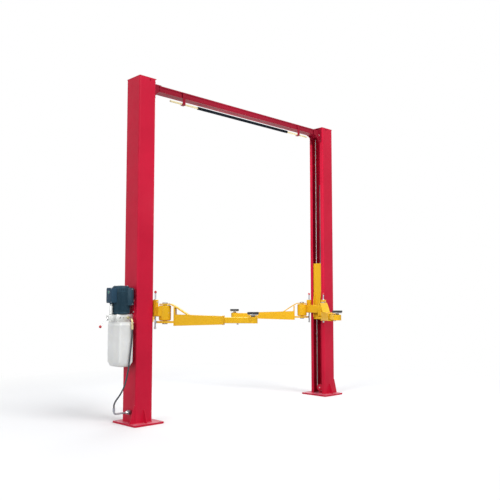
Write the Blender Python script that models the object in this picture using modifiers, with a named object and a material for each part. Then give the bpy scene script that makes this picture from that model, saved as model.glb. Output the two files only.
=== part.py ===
"""Two post car lift with an overhead beam, carriages, telescopic arms and a power unit.

Metres, +Z up. The origin lies under the middle of the main post's base plate, +X points along
the crossbeam to the far post and -Y points to the front of the lifted vehicle.
Each side is modelled in the main post's frame, with +X inward, and the far side repeats it
turned half a turn about Z.
"""
import bpy
import bmesh
from math import atan2, cos, pi, radians, sin
from mathutils import Matrix

# Driving dimensions of the frame
POST_HEIGHT = 3.6
POST_SPACING = 2.976
POST_WIDTH = 0.204
POST_DEPTH = 0.238
POST_WALL = 0.006
POST_LIP = 0.050
POST_BEND = 0.012
CAP_THICKNESS = 0.005
CAP_OVERHANG = 0.010
CAP_CORNER = 0.006
BASE_THICKNESS = 0.018
BASE_OUTER_REACH = 0.063
BASE_INNER_REACH = 0.089
BASE_SIDE_REACH = 0.085
BASE_CORNER = 0.010
GUSSET_HEIGHT = 0.180
SIDE_GUSSET_HEIGHT = 0.130
SIDE_GUSSET_REACH = 0.052
GUSSET_THICKNESS = 0.008
GUSSET_TIP = 0.010
GUSSET_INSET = 0.014
GUSSET_EDGE = 0.004
ANCHOR_RADIUS = 0.011
ANCHOR_INSET = 0.030
SEAT_GAP = 0.0003
WELD = 0.003
OVERRUN = 0.010

# Crossbeam, its brackets and the shut-off bar below it
BEAM_TOP = 3.567
BEAM_HEIGHT = 0.072
BEAM_WIDTH = 0.118
BEAM_WALL = 0.005
BEAM_LIP = 0.018
BEAM_BEND = 0.008
COVER_THICKNESS = 0.003
COVER_RECESS = 0.0065
BRACKET_CORNER = 0.008
BRACKET_LEG = 0.030
BRACKET_HEADROOM = 0.012
SWEEP_TOE = 0.018
SWEEP_STEPS = 4
BRACKET_PLATE = 0.008
BRACKET_HALF_WIDTH = 0.100
BRACKET_TOP = 3.585
BRACKET_BOTTOM = 3.395
CHEEK_THICKNESS = 0.006
CHEEK_REACH = 0.105
CHEEK_INSIDE = 0.030
BAR_Z = 3.432
BAR_HALF_LENGTH = 1.140
BAR_RADIUS = 0.010
FOAM_HALF_LENGTH = 0.750
FOAM_RADIUS = 0.017
BAR_Y = -0.044
HANGER_INSET = 0.180
HANGER_WIDTH = 0.038
HANGER_THICKNESS = 0.005
HANGER_CHAMFER = 0.006
HANGER_UPTURN = 0.003
HANGER_ROOM = 0.010
HANGER_HEADROOM = 0.006

# Equalizing cable and its sheaves
CABLE_RADIUS = 0.005
CABLE_X = 0.058
CABLE_Y = 0.043
CABLE_TURN_STEPS = 5
FOOT_TURN_STEPS = 8
TOP_SHEAVE_RADIUS = 0.045
TOP_SHEAVE_Z = 3.497
SHEAVE_THICKNESS = 0.016
SHEAVE_RIM = 0.005
SHEAVE_ROOM = 0.006
GROOVE_HALF = 0.0055
GROOVE_CLEARANCE = 0.0009
AXLE_RADIUS = 0.010
AXLE_END = 0.002
HUB_WALL = 0.008
BOTTOM_SHEAVE_Z = 0.090
BOTTOM_RIM = 0.003
BOTTOM_AXLE_RADIUS = 0.007
LUG_PLATE = 0.006
LUG_HALF_WIDTH = 0.020
LUG_MARGIN = 0.014

# Lifting cylinder and its rod
CYLINDER_X = -0.020
CYLINDER_RADIUS = 0.036
CYLINDER_BOTTOM = 1.060
CYLINDER_TOP = 2.830
CYLINDER_CAP = 0.045
CYLINDER_NOSE_RADIUS = 0.018
CYLINDER_NOSE_HEIGHT = 0.015
GLAND_RADIUS = 0.042
GLAND_LENGTH = 0.060
COLLAR_RADIUS = 0.050
COLLAR_THICKNESS = 0.015
ROD_RADIUS = 0.022
ROD_CLEARANCE = 0.0005
ROD_CHAMFER = 0.003
ROD_TOP = 1.830
ROD_FOOT_RADIUS = 0.034
ROD_FOOT_HEIGHT = 0.030

# Carriage inside the post and its head outside
CARRIAGE_BOTTOM = 1.000
CARRIAGE_TOP = 1.750
COLUMN_PLATE = 0.008
COLUMN_WEB = 0.012
COLUMN_HALF_DEPTH = 0.100
COLUMN_BACK = -0.080
COLUMN_FRONT = 0.086
WEAR_HEIGHT = 0.120
WEAR_INSET = 0.040
WEAR_CLEARANCE = 0.0008
WEAR_WIDTH = 0.120
SADDLE_THICKNESS = 0.012
SADDLE_CLEARANCE = 0.0055
NECK_HALF_WIDTH = 0.060
NECK_PLATE = 0.015
NECK_BOTTOM = 1.030
NECK_TOP = 1.420
NECK_SHOULDER = 1.240
HEAD_START = 0.110
HEAD_END = 0.165
HEAD_BOTTOM = 1.085
HEAD_TOP = 1.190
HEAD_ROUND = 0.006
HEAD_MARGIN = 0.020
LUG_RADIUS = 0.062
LUG_BOTTOM = 1.0435
LUG_TOP = 1.200
LUG_ROUND = 0.014
PIVOT_X = 0.205
PIVOT_Y = 0.180
PIN_RADIUS = 0.020
PIN_CLEARANCE = 0.0007
PIN_HEAD_RADIUS = 0.027
PIN_HEAD_HEIGHT = 0.012

# Arm lock beside each pivot
LOCK_X = 0.122
LOCK_Y = 0.125
LOCK_ROD_RADIUS = 0.008
LOCK_CLEARANCE = 0.0004
LOCK_ROD_BOTTOM = 0.955
LOCK_ROD_TOP = 1.328
LOCK_KNOB_RADIUS = 0.014
KNOB_SINK = 0.004
LOCK_HOUSING_START = 0.107
LOCK_HOUSING_END = 0.142
LOCK_HOUSING_HALF_DEPTH = 0.030
LOCK_HOUSING_TOP = 1.258
LOCK_HOUSING_ROUND = 0.004
LOCK_BLOCK_BOTTOM = 1.010
LOCK_BLOCK_TOP = 1.046
LOCK_BLOCK_REACH = 0.0165
LOCK_BLOCK_SPAN = radians(7.5)
TOOTH_COUNT = 22
TOOTH_HEIGHT = 0.005
TOOTH_CLEARANCE = 0.0012
TOOTH_ROOT_SHARE = 0.30
TOOTH_TIP_SHARE = 0.16
BLOCK_TOOTH_HEIGHT = 0.003
BLOCK_BACK_STEPS = 4
BLOCK_FACE_STEPS = 6
SECTOR_RADIUS = 0.088
SECTOR_HALF_ANGLE = radians(112.0)

# Swinging arm with its telescopic tube
ARM_ANGLE = radians(50.0)
FORK_RADIUS = 0.060
FORK_CLEARANCE = 0.0055
FORK_LOWER_THICKNESS = 0.020
FORK_UPPER_THICKNESS = 0.012
FORK_WEB_START = 0.100
FORK_WEB_THICKNESS = 0.015
STRAP_START = 0.068
STRAP_DROP = 0.028
STRAP_FOOT_SINK = 0.004
STRAP_END = 0.255
STRAP_BEND = 0.122
TUBE_CENTRE_Z = 1.048
TUBE_END = 0.620
TUBE_WIDTH = 0.092
TUBE_ROOT_HEIGHT = 0.116
TUBE_TIP_HEIGHT = 0.086
TUBE_COLLAR_LENGTH = 0.012
TUBE_COLLAR_RISE = 0.004
EXTENSION_WIDTH = 0.070
EXTENSION_HEIGHT = 0.060
EXTENSION_ROUND = 0.004
EXTENSION_WALL = 0.008
EXTENSION_CLEARANCE = 0.005
EXTENSION_START = 0.250
PAD_REACH = 0.920
BOSS_RADIUS = 0.046
BOSS_CHAMFER = 0.006
STEM_RADIUS = 0.020
STEM_HEIGHT = 0.022
DISH_RADIUS = 0.054
DISH_THICKNESS = 0.010
PAD_RADIUS = 0.060
PAD_THICKNESS = 0.022
PAD_GROOVE = 0.004
PAD_RING = 0.55
PAD_CHAMFER = 0.004
STOP_BOLT_X = 0.760
STOP_BOLT_RADIUS = 0.009
STOP_BOLT_HEIGHT = 0.016

# Power unit on the main post's outer face
UNIT_X = -0.217
UNIT_PLATE = 0.006
UNIT_PLATE_HALF_WIDTH = 0.080
UNIT_PLATE_BOTTOM = 1.010
UNIT_PLATE_TOP = 1.260
UNIT_PLATE_CORNER = 0.010
BLOCK_START = -0.299
NOSE_START = -0.350
NOSE_HALF_WIDTH = 0.026
BLOCK_ROUND = 0.004
BLOCK_HALF_WIDTH = 0.060
BLOCK_BOTTOM = 1.045
BLOCK_TOP = 1.110
VALVE_X = -0.329
VALVE_RADIUS = 0.017
VALVE_HEIGHT = 0.110
VALVE_NECK = 0.6
VALVE_SHOULDER = 0.8
TANK_LENGTH = 0.164
TANK_WIDTH = 0.236
TANK_BOTTOM = 0.590
TANK_TOP = 1.030
TANK_ROUND = 0.022
TANK_TAPER = 0.014
TANK_TAPER_HEIGHT = 0.045
TANK_RIM_INSET = 0.004
TANK_RIM = 0.006
MOTOR_RADIUS = 0.084
MOTOR_FIN_HEIGHT = 0.006
FIN_ROOT_SHARE = 0.22
FIN_TIP_SHARE = 0.10
CROWN_STEPS = 3
MOTOR_FINS = 16
MOTOR_FIN_BOTTOM = 1.135
MOTOR_FIN_TOP = 1.335
MOTOR_TOP = 1.402
MOTOR_CROWN = 0.026
MOTOR_BAND = 0.004
MOTOR_STEP = 0.006
MOTOR_FOOT = 0.020
CAPACITOR_HALF_WIDTH = 0.032
CAPACITOR_DEPTH = 0.044
CAPACITOR_SINK = 0.012
CAPACITOR_ROUND = 0.012
CAPACITOR_ANGLE = radians(36.0)
CAPACITOR_BOTTOM = 1.200
CAPACITOR_TOP = 1.378
SWITCH_DEPTH = 0.050
SWITCH_HALF_WIDTH = 0.050
SWITCH_BOTTOM = 1.225
SWITCH_TOP = 1.378
SWITCH_ROUND = 0.006
SWITCH_WRAP = 0.020
BUTTON_RADIUS = 0.014
BUTTON_HEIGHT = 0.008
BUTTON_DROP = 0.045
LEVER_X = -0.357
LEVER_Z = 1.088
LEVER_LENGTH = 0.134
LEVER_DROP = radians(46.0)
LEVER_RADIUS = 0.006
LEVER_HUB_RADIUS = 0.012
LEVER_HUB_HALF_WIDTH = 0.012
LEVER_EAR = 0.006
LEVER_EAR_HALF = 0.013
LEVER_PIN_RADIUS = 0.004
LEVER_PIN_CLEARANCE = 0.0005
LEVER_PLAY = 0.001
KNOB_RADIUS = 0.014

# Pressure line from the pump block to the foot of the post
HOSE_RADIUS = 0.008
HOSE_STEPS = 29
HOSE_LEAD = 0.015
HOSE_TOP_X = -0.168
HOSE_TOP_Y = -0.138
HOSE_TOP_Z = 0.960
HOSE_ROUTE = [(-0.174, -0.138, 0.830), (-0.186, -0.138, 0.735), (-0.196, -0.136, 0.635),
              (-0.204, -0.124, 0.540), (-0.212, -0.105, 0.450), (-0.228, -0.085, 0.375),
              (-0.256, -0.063, 0.308), (-0.285, -0.041, 0.258)]
ELBOW_Z = 1.078
ELBOW_RADIUS = 0.010
FITTING_RADIUS = 0.013
FITTING_LENGTH = 0.050
PORT_Y = -0.030
PORT_Z = 0.126
PORT_BLOCK_LENGTH = 0.036
PORT_BLOCK_HALF = 0.020
PORT_PIPE_RADIUS = 0.009
PORT_BEND_X = -0.298
PORT_BEND = 0.026
FERRULE_RADIUS = 0.012
FERRULE_LENGTH = 0.034
NUT_MARGIN = 0.003
NUT_LENGTH = 0.024
ELBOW_COLLAR = 0.016
ELBOW_COLLAR_MARGIN = 0.002
ELBOW_STEPS = 4
ELBOW_LEAD = 0.030
PORT_BLOCK_ROUND = 0.003

# Values that follow from the sizes above
HALF_WIDTH = POST_WIDTH / 2
HALF_DEPTH = POST_DEPTH / 2
POST_BOTTOM = BASE_THICKNESS + SEAT_GAP
POST_TOP = POST_HEIGHT - CAP_THICKNESS - SEAT_GAP
OPENING_HALF = HALF_DEPTH - POST_LIP
BEAM_BOTTOM = BEAM_TOP - BEAM_HEIGHT
SHEAVE_X = CABLE_X + TOP_SHEAVE_RADIUS
BEAM_START = SHEAVE_X + TOP_SHEAVE_RADIUS + SHEAVE_RIM + SHEAVE_ROOM
CHEEK_FACE = BEAM_WIDTH / 2 + SEAT_GAP
SADDLE_TOP = CARRIAGE_TOP
FORK_LOWER_TOP = LUG_BOTTOM - FORK_CLEARANCE
FORK_LOWER_BOTTOM = FORK_LOWER_TOP - FORK_LOWER_THICKNESS
FORK_UPPER_BOTTOM = LUG_TOP + FORK_CLEARANCE
FORK_UPPER_TOP = FORK_UPPER_BOTTOM + FORK_UPPER_THICKNESS
EXTENSION_BOTTOM = TUBE_CENTRE_Z - EXTENSION_HEIGHT / 2
EXTENSION_TOP = TUBE_CENTRE_Z + EXTENSION_HEIGHT / 2
UNIT_PLATE_FACE = -HALF_WIDTH - SEAT_GAP - UNIT_PLATE
HANGER_OFFSET = BAR_HALF_LENGTH - HANGER_INSET

SMOOTH_ANGLE = radians(35.0)
MERGE_DISTANCE = 0.000001
SEAM_DISTANCE = 0.00001
HOLE_PHASE = 0.2
ROUND_STEPS = 14
SMALL_STEPS = 8
PIN_STEPS = 12
SWITCH_ROOM_STEPS = 48
BALL_STEPS = 4

for old_object in list(bpy.data.objects):
    bpy.data.objects.remove(old_object, do_unlink=True)

scene_root = bpy.context.scene.collection
parts = bpy.data.collections.new("two_post_car_lift")
scene_root.children.link(parts)


def make_material(name, colour, roughness, metallic=0.0):
    material = bpy.data.materials.new(name)
    material.use_nodes = True
    shader = material.node_tree.nodes["Principled BSDF"]
    shader.inputs["Base Color"].default_value = (*colour, 1.0)
    shader.inputs["Roughness"].default_value = roughness
    shader.inputs["Metallic"].default_value = metallic
    material.diffuse_color = (*colour, 1.0)
    return material


RED_PAINT = make_material("red_paint", (0.55, 0.02, 0.06), 0.35)
YELLOW_PAINT = make_material("yellow_paint", (0.85, 0.45, 0.03), 0.40)
BRIGHT_STEEL = make_material("bright_steel", (0.70, 0.71, 0.72), 0.20, 1.0)
DARK_STEEL = make_material("dark_steel", (0.20, 0.20, 0.21), 0.45, 1.0)
CABLE_STEEL = make_material("cable_steel", (0.42, 0.42, 0.43), 0.50, 1.0)
CYLINDER_PAINT = make_material("cylinder_paint", (0.16, 0.16, 0.17), 0.40)
BAR_PAINT = make_material("bar_paint", (0.80, 0.74, 0.42), 0.45)
FOAM = make_material("foam", (0.02, 0.02, 0.022), 0.95)
RUBBER = make_material("rubber", (0.025, 0.025, 0.025), 0.85)
MOTOR_PAINT = make_material("motor_paint", (0.035, 0.075, 0.12), 0.45)
SWITCH_PLASTIC = make_material("switch_plastic", (0.03, 0.05, 0.08), 0.50)
BLOCK_METAL = make_material("block_metal", (0.62, 0.62, 0.60), 0.38, 1.0)
TANK_PLASTIC = make_material("tank_plastic", (0.74, 0.73, 0.70), 0.45)
BRASS = make_material("brass", (0.70, 0.55, 0.28), 0.35, 1.0)
KNOB_PLASTIC = make_material("knob_plastic", (0.60, 0.03, 0.04), 0.35)
HOSE_RUBBER = make_material("hose_rubber", (0.03, 0.04, 0.05), 0.60)


def new_object(name, mesh):
    thing = bpy.data.objects.new(name, mesh)
    scene_root.objects.link(thing)
    return thing


def evaluated_mesh(thing):
    """The object's mesh with its modifiers applied, as a new mesh."""
    bpy.context.view_layer.update()
    graph = bpy.context.evaluated_depsgraph_get()
    return bpy.data.meshes.new_from_object(thing.evaluated_get(graph))


def bake(thing):
    """Turn a curve or an object with modifiers into a plain welded mesh in the same place."""
    mesh = evaluated_mesh(thing)
    form = bmesh.new()
    form.from_mesh(mesh)
    bmesh.ops.remove_doubles(form, verts=form.verts, dist=MERGE_DISTANCE)
    form.to_mesh(mesh)
    form.free()
    solid = new_object(thing.name + "_solid", mesh)
    solid.matrix_world = thing.matrix_world.copy()
    bpy.data.objects.remove(thing, do_unlink=True)
    return solid


def move_mesh(thing, matrix):
    """Move the vertices themselves, so that the object keeps its origin."""
    thing.data.transform(matrix)
    return thing


def box(x_span, y_span, z_span, bevel=0.0, segments=2):
    form = bmesh.new()
    bmesh.ops.create_cube(form, size=1.0)
    size = (x_span[1] - x_span[0], y_span[1] - y_span[0], z_span[1] - z_span[0])
    centre = (sum(x_span) / 2, sum(y_span) / 2, sum(z_span) / 2)
    bmesh.ops.scale(form, vec=size, verts=form.verts)
    if bevel:
        bmesh.ops.bevel(form, geom=form.edges[:], offset=bevel, segments=segments, profile=0.5,
                        affect="EDGES")
    bmesh.ops.translate(form, vec=centre, verts=form.verts)
    mesh = bpy.data.meshes.new("box")
    form.to_mesh(mesh)
    form.free()
    return new_object("box", mesh)


def cylinder(radius, start, end, axis="Z", centre=(0.0, 0.0), steps=ROUND_STEPS):
    """A cylinder along an axis; centre holds its two other coordinates in X, Y, Z order."""
    form = bmesh.new()
    bmesh.ops.create_cone(form, cap_ends=True, segments=steps, radius1=radius, radius2=radius,
                          depth=end - start)
    bmesh.ops.translate(form, vec=(0, 0, (start + end) / 2), verts=form.verts)
    mesh = bpy.data.meshes.new("cylinder")
    form.to_mesh(mesh)
    form.free()
    thing = new_object("cylinder", mesh)
    turns = {"X": Matrix.Rotation(pi / 2, 4, "Y"), "Y": Matrix.Rotation(-pi / 2, 4, "X")}
    places = {"X": (0, *centre), "Y": (centre[0], 0, centre[1]), "Z": (*centre, 0)}
    matrix = Matrix.Translation(places[axis]) @ turns.get(axis, Matrix.Identity(4))
    return move_mesh(thing, matrix)


def bore(radius, start, end, axis="Z", centre=(0.0, 0.0), steps=ROUND_STEPS):
    """A cutter whose flats, not its corners, lie at the radius."""
    return cylinder(radius / cos(pi / steps), start, end, axis, centre, steps)


def plate(outlines, start, end, normal="Z"):
    """A flat outline, with any inner loops as holes, extruded between two heights."""
    curve = bpy.data.curves.new("outline", "CURVE")
    curve.dimensions = "2D"
    curve.fill_mode = "BOTH"
    curve.extrude = (end - start) / 2
    for outline in outlines:
        spline = curve.splines.new("POLY")
        spline.points.add(len(outline) - 1)
        for point, place in zip(spline.points, outline):
            point.co = (place[0], place[1], 0.0, 1.0)
        spline.use_cyclic_u = True
    thing = bake(new_object("plate", curve))
    move_mesh(thing, Matrix.Translation((0, 0, (start + end) / 2)))
    turns = {
        "Z": Matrix.Identity(4),
        "Y": Matrix(((1, 0, 0, 0), (0, 0, -1, 0), (0, 1, 0, 0), (0, 0, 0, 1))),
        "X": Matrix(((0, 0, 1, 0), (1, 0, 0, 0), (0, 1, 0, 0), (0, 0, 0, 1))),
    }
    move_mesh(thing, turns[normal])
    return thing


def circle(radius, centre=(0.0, 0.0), steps=SMALL_STEPS):
    turn = 2 * pi / steps
    return [(centre[0] + radius * cos((i + HOLE_PHASE) * turn),
             centre[1] + radius * sin((i + HOLE_PHASE) * turn)) for i in range(steps)]


def rounded_rectangle(x_span, y_span, radius, steps=2):
    corners = ((x_span[1], y_span[1], 0.0), (x_span[0], y_span[1], 0.5),
               (x_span[0], y_span[0], 1.0), (x_span[1], y_span[0], 1.5))
    outline = []
    for x, y, quarter in corners:
        inner_x = x - radius if x == x_span[1] else x + radius
        inner_y = y - radius if y == y_span[1] else y + radius
        for i in range(steps + 1):
            angle = pi * (quarter + 0.5 * i / steps)
            outline.append((inner_x + radius * cos(angle), inner_y + radius * sin(angle)))
    return outline


def turned(profile, closed=False, steps=ROUND_STEPS):
    """Revolve a profile of radius and height about Z; it runs down the outer side."""
    form = bmesh.new()
    points = [form.verts.new((radius, 0.0, height)) for radius, height in profile]
    for first, second in zip(points, points[1:]):
        form.edges.new((first, second))
    if closed:
        form.edges.new((points[-1], points[0]))
    mesh = bpy.data.meshes.new("turned")
    form.to_mesh(mesh)
    form.free()
    thing = new_object("turned", mesh)
    screw = thing.modifiers.new("screw", "SCREW")
    screw.steps = steps
    screw.render_steps = steps
    screw.use_merge_vertices = True
    screw.merge_threshold = SEAM_DISTANCE
    return bake(thing)


def ball(radius):
    return turned([(radius * sin(pi * i / BALL_STEPS), radius * cos(pi * i / BALL_STEPS))
                   for i in range(BALL_STEPS + 1)], steps=SMALL_STEPS)


def folded(corners, wall, bend, start, end, steps=3):
    """A sheet folded along its outer corners, each bend an arc, extruded along Z."""
    line = [corners[0]]
    for before, corner, after in zip(corners, corners[1:], corners[2:]):
        toward = atan2(before[1] - corner[1], before[0] - corner[0])
        away = atan2(after[1] - corner[1], after[0] - corner[0])
        centre = (corner[0] + bend * (cos(toward) + cos(away)),
                  corner[1] + bend * (sin(toward) + sin(away)))
        first = atan2(corner[1] + bend * sin(toward) - centre[1],
                      corner[0] + bend * cos(toward) - centre[0])
        last = atan2(corner[1] + bend * sin(away) - centre[1],
                     corner[0] + bend * cos(away) - centre[0])
        arc = (last - first + pi) % (2 * pi) - pi
        for i in range(steps + 1):
            angle = first + arc * i / steps
            line.append((centre[0] + bend * cos(angle), centre[1] + bend * sin(angle)))
    line.append(corners[-1])
    form = bmesh.new()
    points = [form.verts.new((x, y, start)) for x, y in line]
    edges = [form.edges.new(pair) for pair in zip(points, points[1:])]
    lifted = bmesh.ops.extrude_edge_only(form, edges=edges)
    raised = [item for item in lifted["geom"] if isinstance(item, bmesh.types.BMVert)]
    bmesh.ops.translate(form, vec=(0, 0, end - start), verts=raised)
    bmesh.ops.recalc_face_normals(form, faces=form.faces)
    mesh = bpy.data.meshes.new("folded")
    form.to_mesh(mesh)
    form.free()
    thing = new_object("folded", mesh)
    solidify = thing.modifiers.new("wall", "SOLIDIFY")
    solidify.thickness = wall
    solidify.offset = 0.0
    solidify.use_even_offset = True
    return bake(thing)


def tube(points, radius, cyclic=False, resolution=2):
    curve = bpy.data.curves.new("tube", "CURVE")
    curve.dimensions = "3D"
    curve.bevel_depth = radius
    curve.bevel_resolution = resolution
    curve.use_fill_caps = not cyclic
    spline = curve.splines.new("POLY")
    spline.points.add(len(points) - 1)
    for point, place in zip(spline.points, points):
        point.co = (*place, 1.0)
    spline.use_cyclic_u = cyclic
    return bake(new_object("tube", curve))


def combine(base, tools, operation):
    for tool in tools:
        step = base.modifiers.new("combine", "BOOLEAN")
        step.operation = operation
        step.solver = "EXACT"
        step.object = tool
    result = bake(base)
    for tool in tools:
        bpy.data.objects.remove(tool, do_unlink=True)
    return result


def union(base, *tools):
    return combine(base, tools, "UNION")


def cut(base, *tools):
    return combine(base, tools, "DIFFERENCE")


def smooth_path(knots, count):
    """Points read evenly from a smooth curve through the knots."""
    padded = [knots[0], *knots, knots[-1]]
    spans = len(knots) - 1
    path = []
    for i in range(count):
        place = i * spans / (count - 1)
        span = min(int(place), spans - 1)
        t = place - span
        p0, p1, p2, p3 = padded[span:span + 4]
        path.append(tuple(
            0.5 * (2 * b + (c - a) * t + (2 * a - 5 * b + 4 * c - d) * t ** 2
                   + (3 * b - a - 3 * c + d) * t ** 3)
            for a, b, c, d in zip(p0, p1, p2, p3)))
    return path


def anchor_empty(name, location, angle=0.0, parent=None):
    empty = bpy.data.objects.new(name, None)
    parts.objects.link(empty)
    empty.parent = parent
    empty.location = location
    empty.rotation_euler = (0.0, 0.0, angle)
    return empty


def finish(thing, name, material, parent=None):
    """Name a finished solid, colour it, shade it and file it with the parts."""
    thing.name = name
    thing.data.name = name
    thing.data.materials.clear()
    thing.data.materials.append(material)
    thing.data.shade_smooth()
    thing.data.set_sharp_from_angle(angle=SMOOTH_ANGLE)
    scene_root.objects.unlink(thing)
    parts.objects.link(thing)
    thing.parent = parent
    return thing


def repeat(thing, name, parent):
    """A copy of a finished piece under another parent, sharing its mesh."""
    copy = bpy.data.objects.new(name, thing.data)
    parts.objects.link(copy)
    copy.parent = parent
    return copy


def gusset(root_end, foot_end, height, middle, normal):
    """Triangular rib that rises along the post from the base plate."""
    root = BASE_THICKNESS - WELD
    tip = BASE_THICKNESS + height
    toward = 1 if foot_end > root_end else -1
    outline = [(root_end, root), (root_end, tip), (root_end + toward * GUSSET_TIP, tip),
               (foot_end, BASE_THICKNESS + GUSSET_TIP), (foot_end, root)]
    return plate([outline], middle - GUSSET_THICKNESS / 2, middle + GUSSET_THICKNESS / 2, normal)


def base_plate(outer_side):
    """Floor plate with anchor holes, three gussets and the lug of the bottom sheave."""
    x_span = (-HALF_WIDTH - BASE_OUTER_REACH, HALF_WIDTH + BASE_INNER_REACH)
    y_span = (-HALF_DEPTH - BASE_SIDE_REACH, HALF_DEPTH + BASE_SIDE_REACH)
    outline = rounded_rectangle(x_span, y_span, BASE_CORNER)
    hole_places = [(x, y) for x in (x_span[0] + ANCHOR_INSET, x_span[1] - ANCHOR_INSET)
                   for y in (y_span[0] + ANCHOR_INSET, y_span[1] - ANCHOR_INSET)]
    hole_places.append((x_span[1] - ANCHOR_INSET, 0.0))
    holes = [circle(ANCHOR_RADIUS, place) for place in hole_places]
    body = plate([outline, *holes], 0.0, BASE_THICKNESS)
    ribs = [gusset(-HALF_WIDTH - SEAT_GAP, x_span[0] + GUSSET_EDGE, GUSSET_HEIGHT,
                   -outer_side * (HALF_DEPTH - GUSSET_INSET), "Y")]
    for side in (-1, 1):
        ribs.append(gusset(side * (HALF_DEPTH + SEAT_GAP), side * (HALF_DEPTH + SIDE_GUSSET_REACH),
                           SIDE_GUSSET_HEIGHT, 0.0, "X"))
    lug_back = CABLE_X - SHEAVE_THICKNESS / 2 - SEAT_GAP - LUG_PLATE
    lug_top = BOTTOM_SHEAVE_Z + LUG_MARGIN
    lug = box((lug_back, lug_back + LUG_PLATE), (-LUG_HALF_WIDTH, LUG_HALF_WIDTH),
              (BASE_THICKNESS - WELD, lug_top))
    lug_hole = bore(BOTTOM_AXLE_RADIUS + SEAT_GAP, lug_back - OVERRUN, lug_back + LUG_PLATE + OVERRUN,
                    "X", (0.0, BOTTOM_SHEAVE_Z), SMALL_STEPS)
    return cut(union(body, *ribs, lug), lug_hole)


def post():
    """Folded channel with inward lips, open toward the other post."""
    half = POST_WALL / 2
    back, front = -HALF_WIDTH + half, HALF_WIDTH - half
    side = HALF_DEPTH - half
    corners = [(front, -OPENING_HALF), (front, -side), (back, -side), (back, side),
               (front, side), (front, OPENING_HALF)]
    return folded(corners, POST_WALL, POST_BEND, POST_BOTTOM, POST_TOP)


def post_cap():
    x_span = (-HALF_WIDTH, HALF_WIDTH + CAP_OVERHANG)
    outline = rounded_rectangle(x_span, (-HALF_DEPTH, HALF_DEPTH), CAP_CORNER)
    return plate([outline], POST_TOP + SEAT_GAP, POST_HEIGHT)


def beam_bracket():
    """Forked end plate on the post's lips with two cheeks that hold the beam and the axle."""
    face = HALF_WIDTH + SEAT_GAP
    end_plate = plate([rounded_rectangle((-BRACKET_HALF_WIDTH, BRACKET_HALF_WIDTH),
                                         (BRACKET_BOTTOM, BRACKET_TOP), BRACKET_CORNER)],
                      face, face + BRACKET_PLATE, "X")
    window_half = BRACKET_HALF_WIDTH - BRACKET_LEG
    window = box((face - OVERRUN, face + BRACKET_PLATE + OVERRUN), (-window_half, window_half),
                 (BRACKET_BOTTOM - OVERRUN, TOP_SHEAVE_Z + TOP_SHEAVE_RADIUS + BRACKET_HEADROOM))
    end_plate = cut(end_plate, window)
    weld_x = face + BRACKET_PLATE - WELD
    tip_x = face + BRACKET_PLATE + CHEEK_REACH
    inside_x = SHEAVE_X - CHEEK_INSIDE
    low_z = TOP_SHEAVE_Z - CHEEK_INSIDE
    arc_foot = weld_x + SWEEP_TOE
    sweep = []
    for i in range(1, SWEEP_STEPS + 1):
        angle = pi / 2 * i / SWEEP_STEPS
        sweep.append((tip_x - (tip_x - arc_foot) * sin(angle),
                      BEAM_BOTTOM - (BEAM_BOTTOM - BRACKET_BOTTOM) * (1 - cos(angle))))
    outline = [(inside_x, low_z), (inside_x, BEAM_TOP), (tip_x, BEAM_TOP), (tip_x, BEAM_BOTTOM),
               *sweep, (weld_x, BRACKET_BOTTOM), (weld_x, low_z)]
    cheeks = []
    for side in (-1, 1):
        near, far = sorted((-side * CHEEK_FACE, -side * (CHEEK_FACE + CHEEK_THICKNESS)))
        cheeks.append(plate([outline], near, far, "Y"))
    reach = CHEEK_FACE + CHEEK_THICKNESS + OVERRUN
    axle_hole = bore(AXLE_RADIUS + SEAT_GAP, -reach, reach, "Y", (SHEAVE_X, TOP_SHEAVE_Z))
    return cut(union(end_plate, *cheeks), axle_hole)


def crossbeam():
    """Folded channel with a turned-down front lip and a recessed cover strip over its opening."""
    half = BEAM_WALL / 2
    low, high = BEAM_BOTTOM + half, BEAM_TOP - half
    side = BEAM_WIDTH / 2 - half
    corners = [(low, BEAM_WIDTH / 2), (low, -side), (high, -side), (high, side),
               (BEAM_TOP - BEAM_LIP, side)]
    end = POST_SPACING - BEAM_START
    channel = folded(corners, BEAM_WALL, BEAM_BEND, BEAM_START, end)
    move_mesh(channel, Matrix(((0, 0, 1, 0), (0, -1, 0, 0), (1, 0, 0, 0), (0, 0, 0, 1))))
    front = COVER_RECESS - BEAM_WIDTH / 2
    cover = box((BEAM_START + COVER_THICKNESS, end - COVER_THICKNESS), (front, front + COVER_THICKNESS),
                (BEAM_BOTTOM + BEAM_WALL - WELD, BEAM_TOP - BEAM_WALL + WELD))
    return union(channel, cover)


def bar_hanger(middle_x):
    """J-shaped strap on the beam's front that carries the shut-off bar."""
    face = -BEAM_WIDTH / 2 - SEAT_GAP
    back = BAR_Y + BAR_RADIUS + HANGER_ROOM
    shelf_top = BAR_Z - BAR_RADIUS - SEAT_GAP
    shelf_bottom = shelf_top - HANGER_THICKNESS
    outer = face - HANGER_THICKNESS
    top = BEAM_TOP - HANGER_HEADROOM
    outline = [(outer, top), (outer, shelf_bottom + HANGER_CHAMFER), (outer + HANGER_CHAMFER, shelf_bottom),
               (back, shelf_bottom), (back, shelf_top + HANGER_UPTURN),
               (back - HANGER_UPTURN, shelf_top + HANGER_UPTURN), (back - HANGER_UPTURN, shelf_top),
               (face, shelf_top), (face, top)]
    half = HANGER_WIDTH / 2
    return plate([outline], middle_x - half, middle_x + half, "X")


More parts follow.
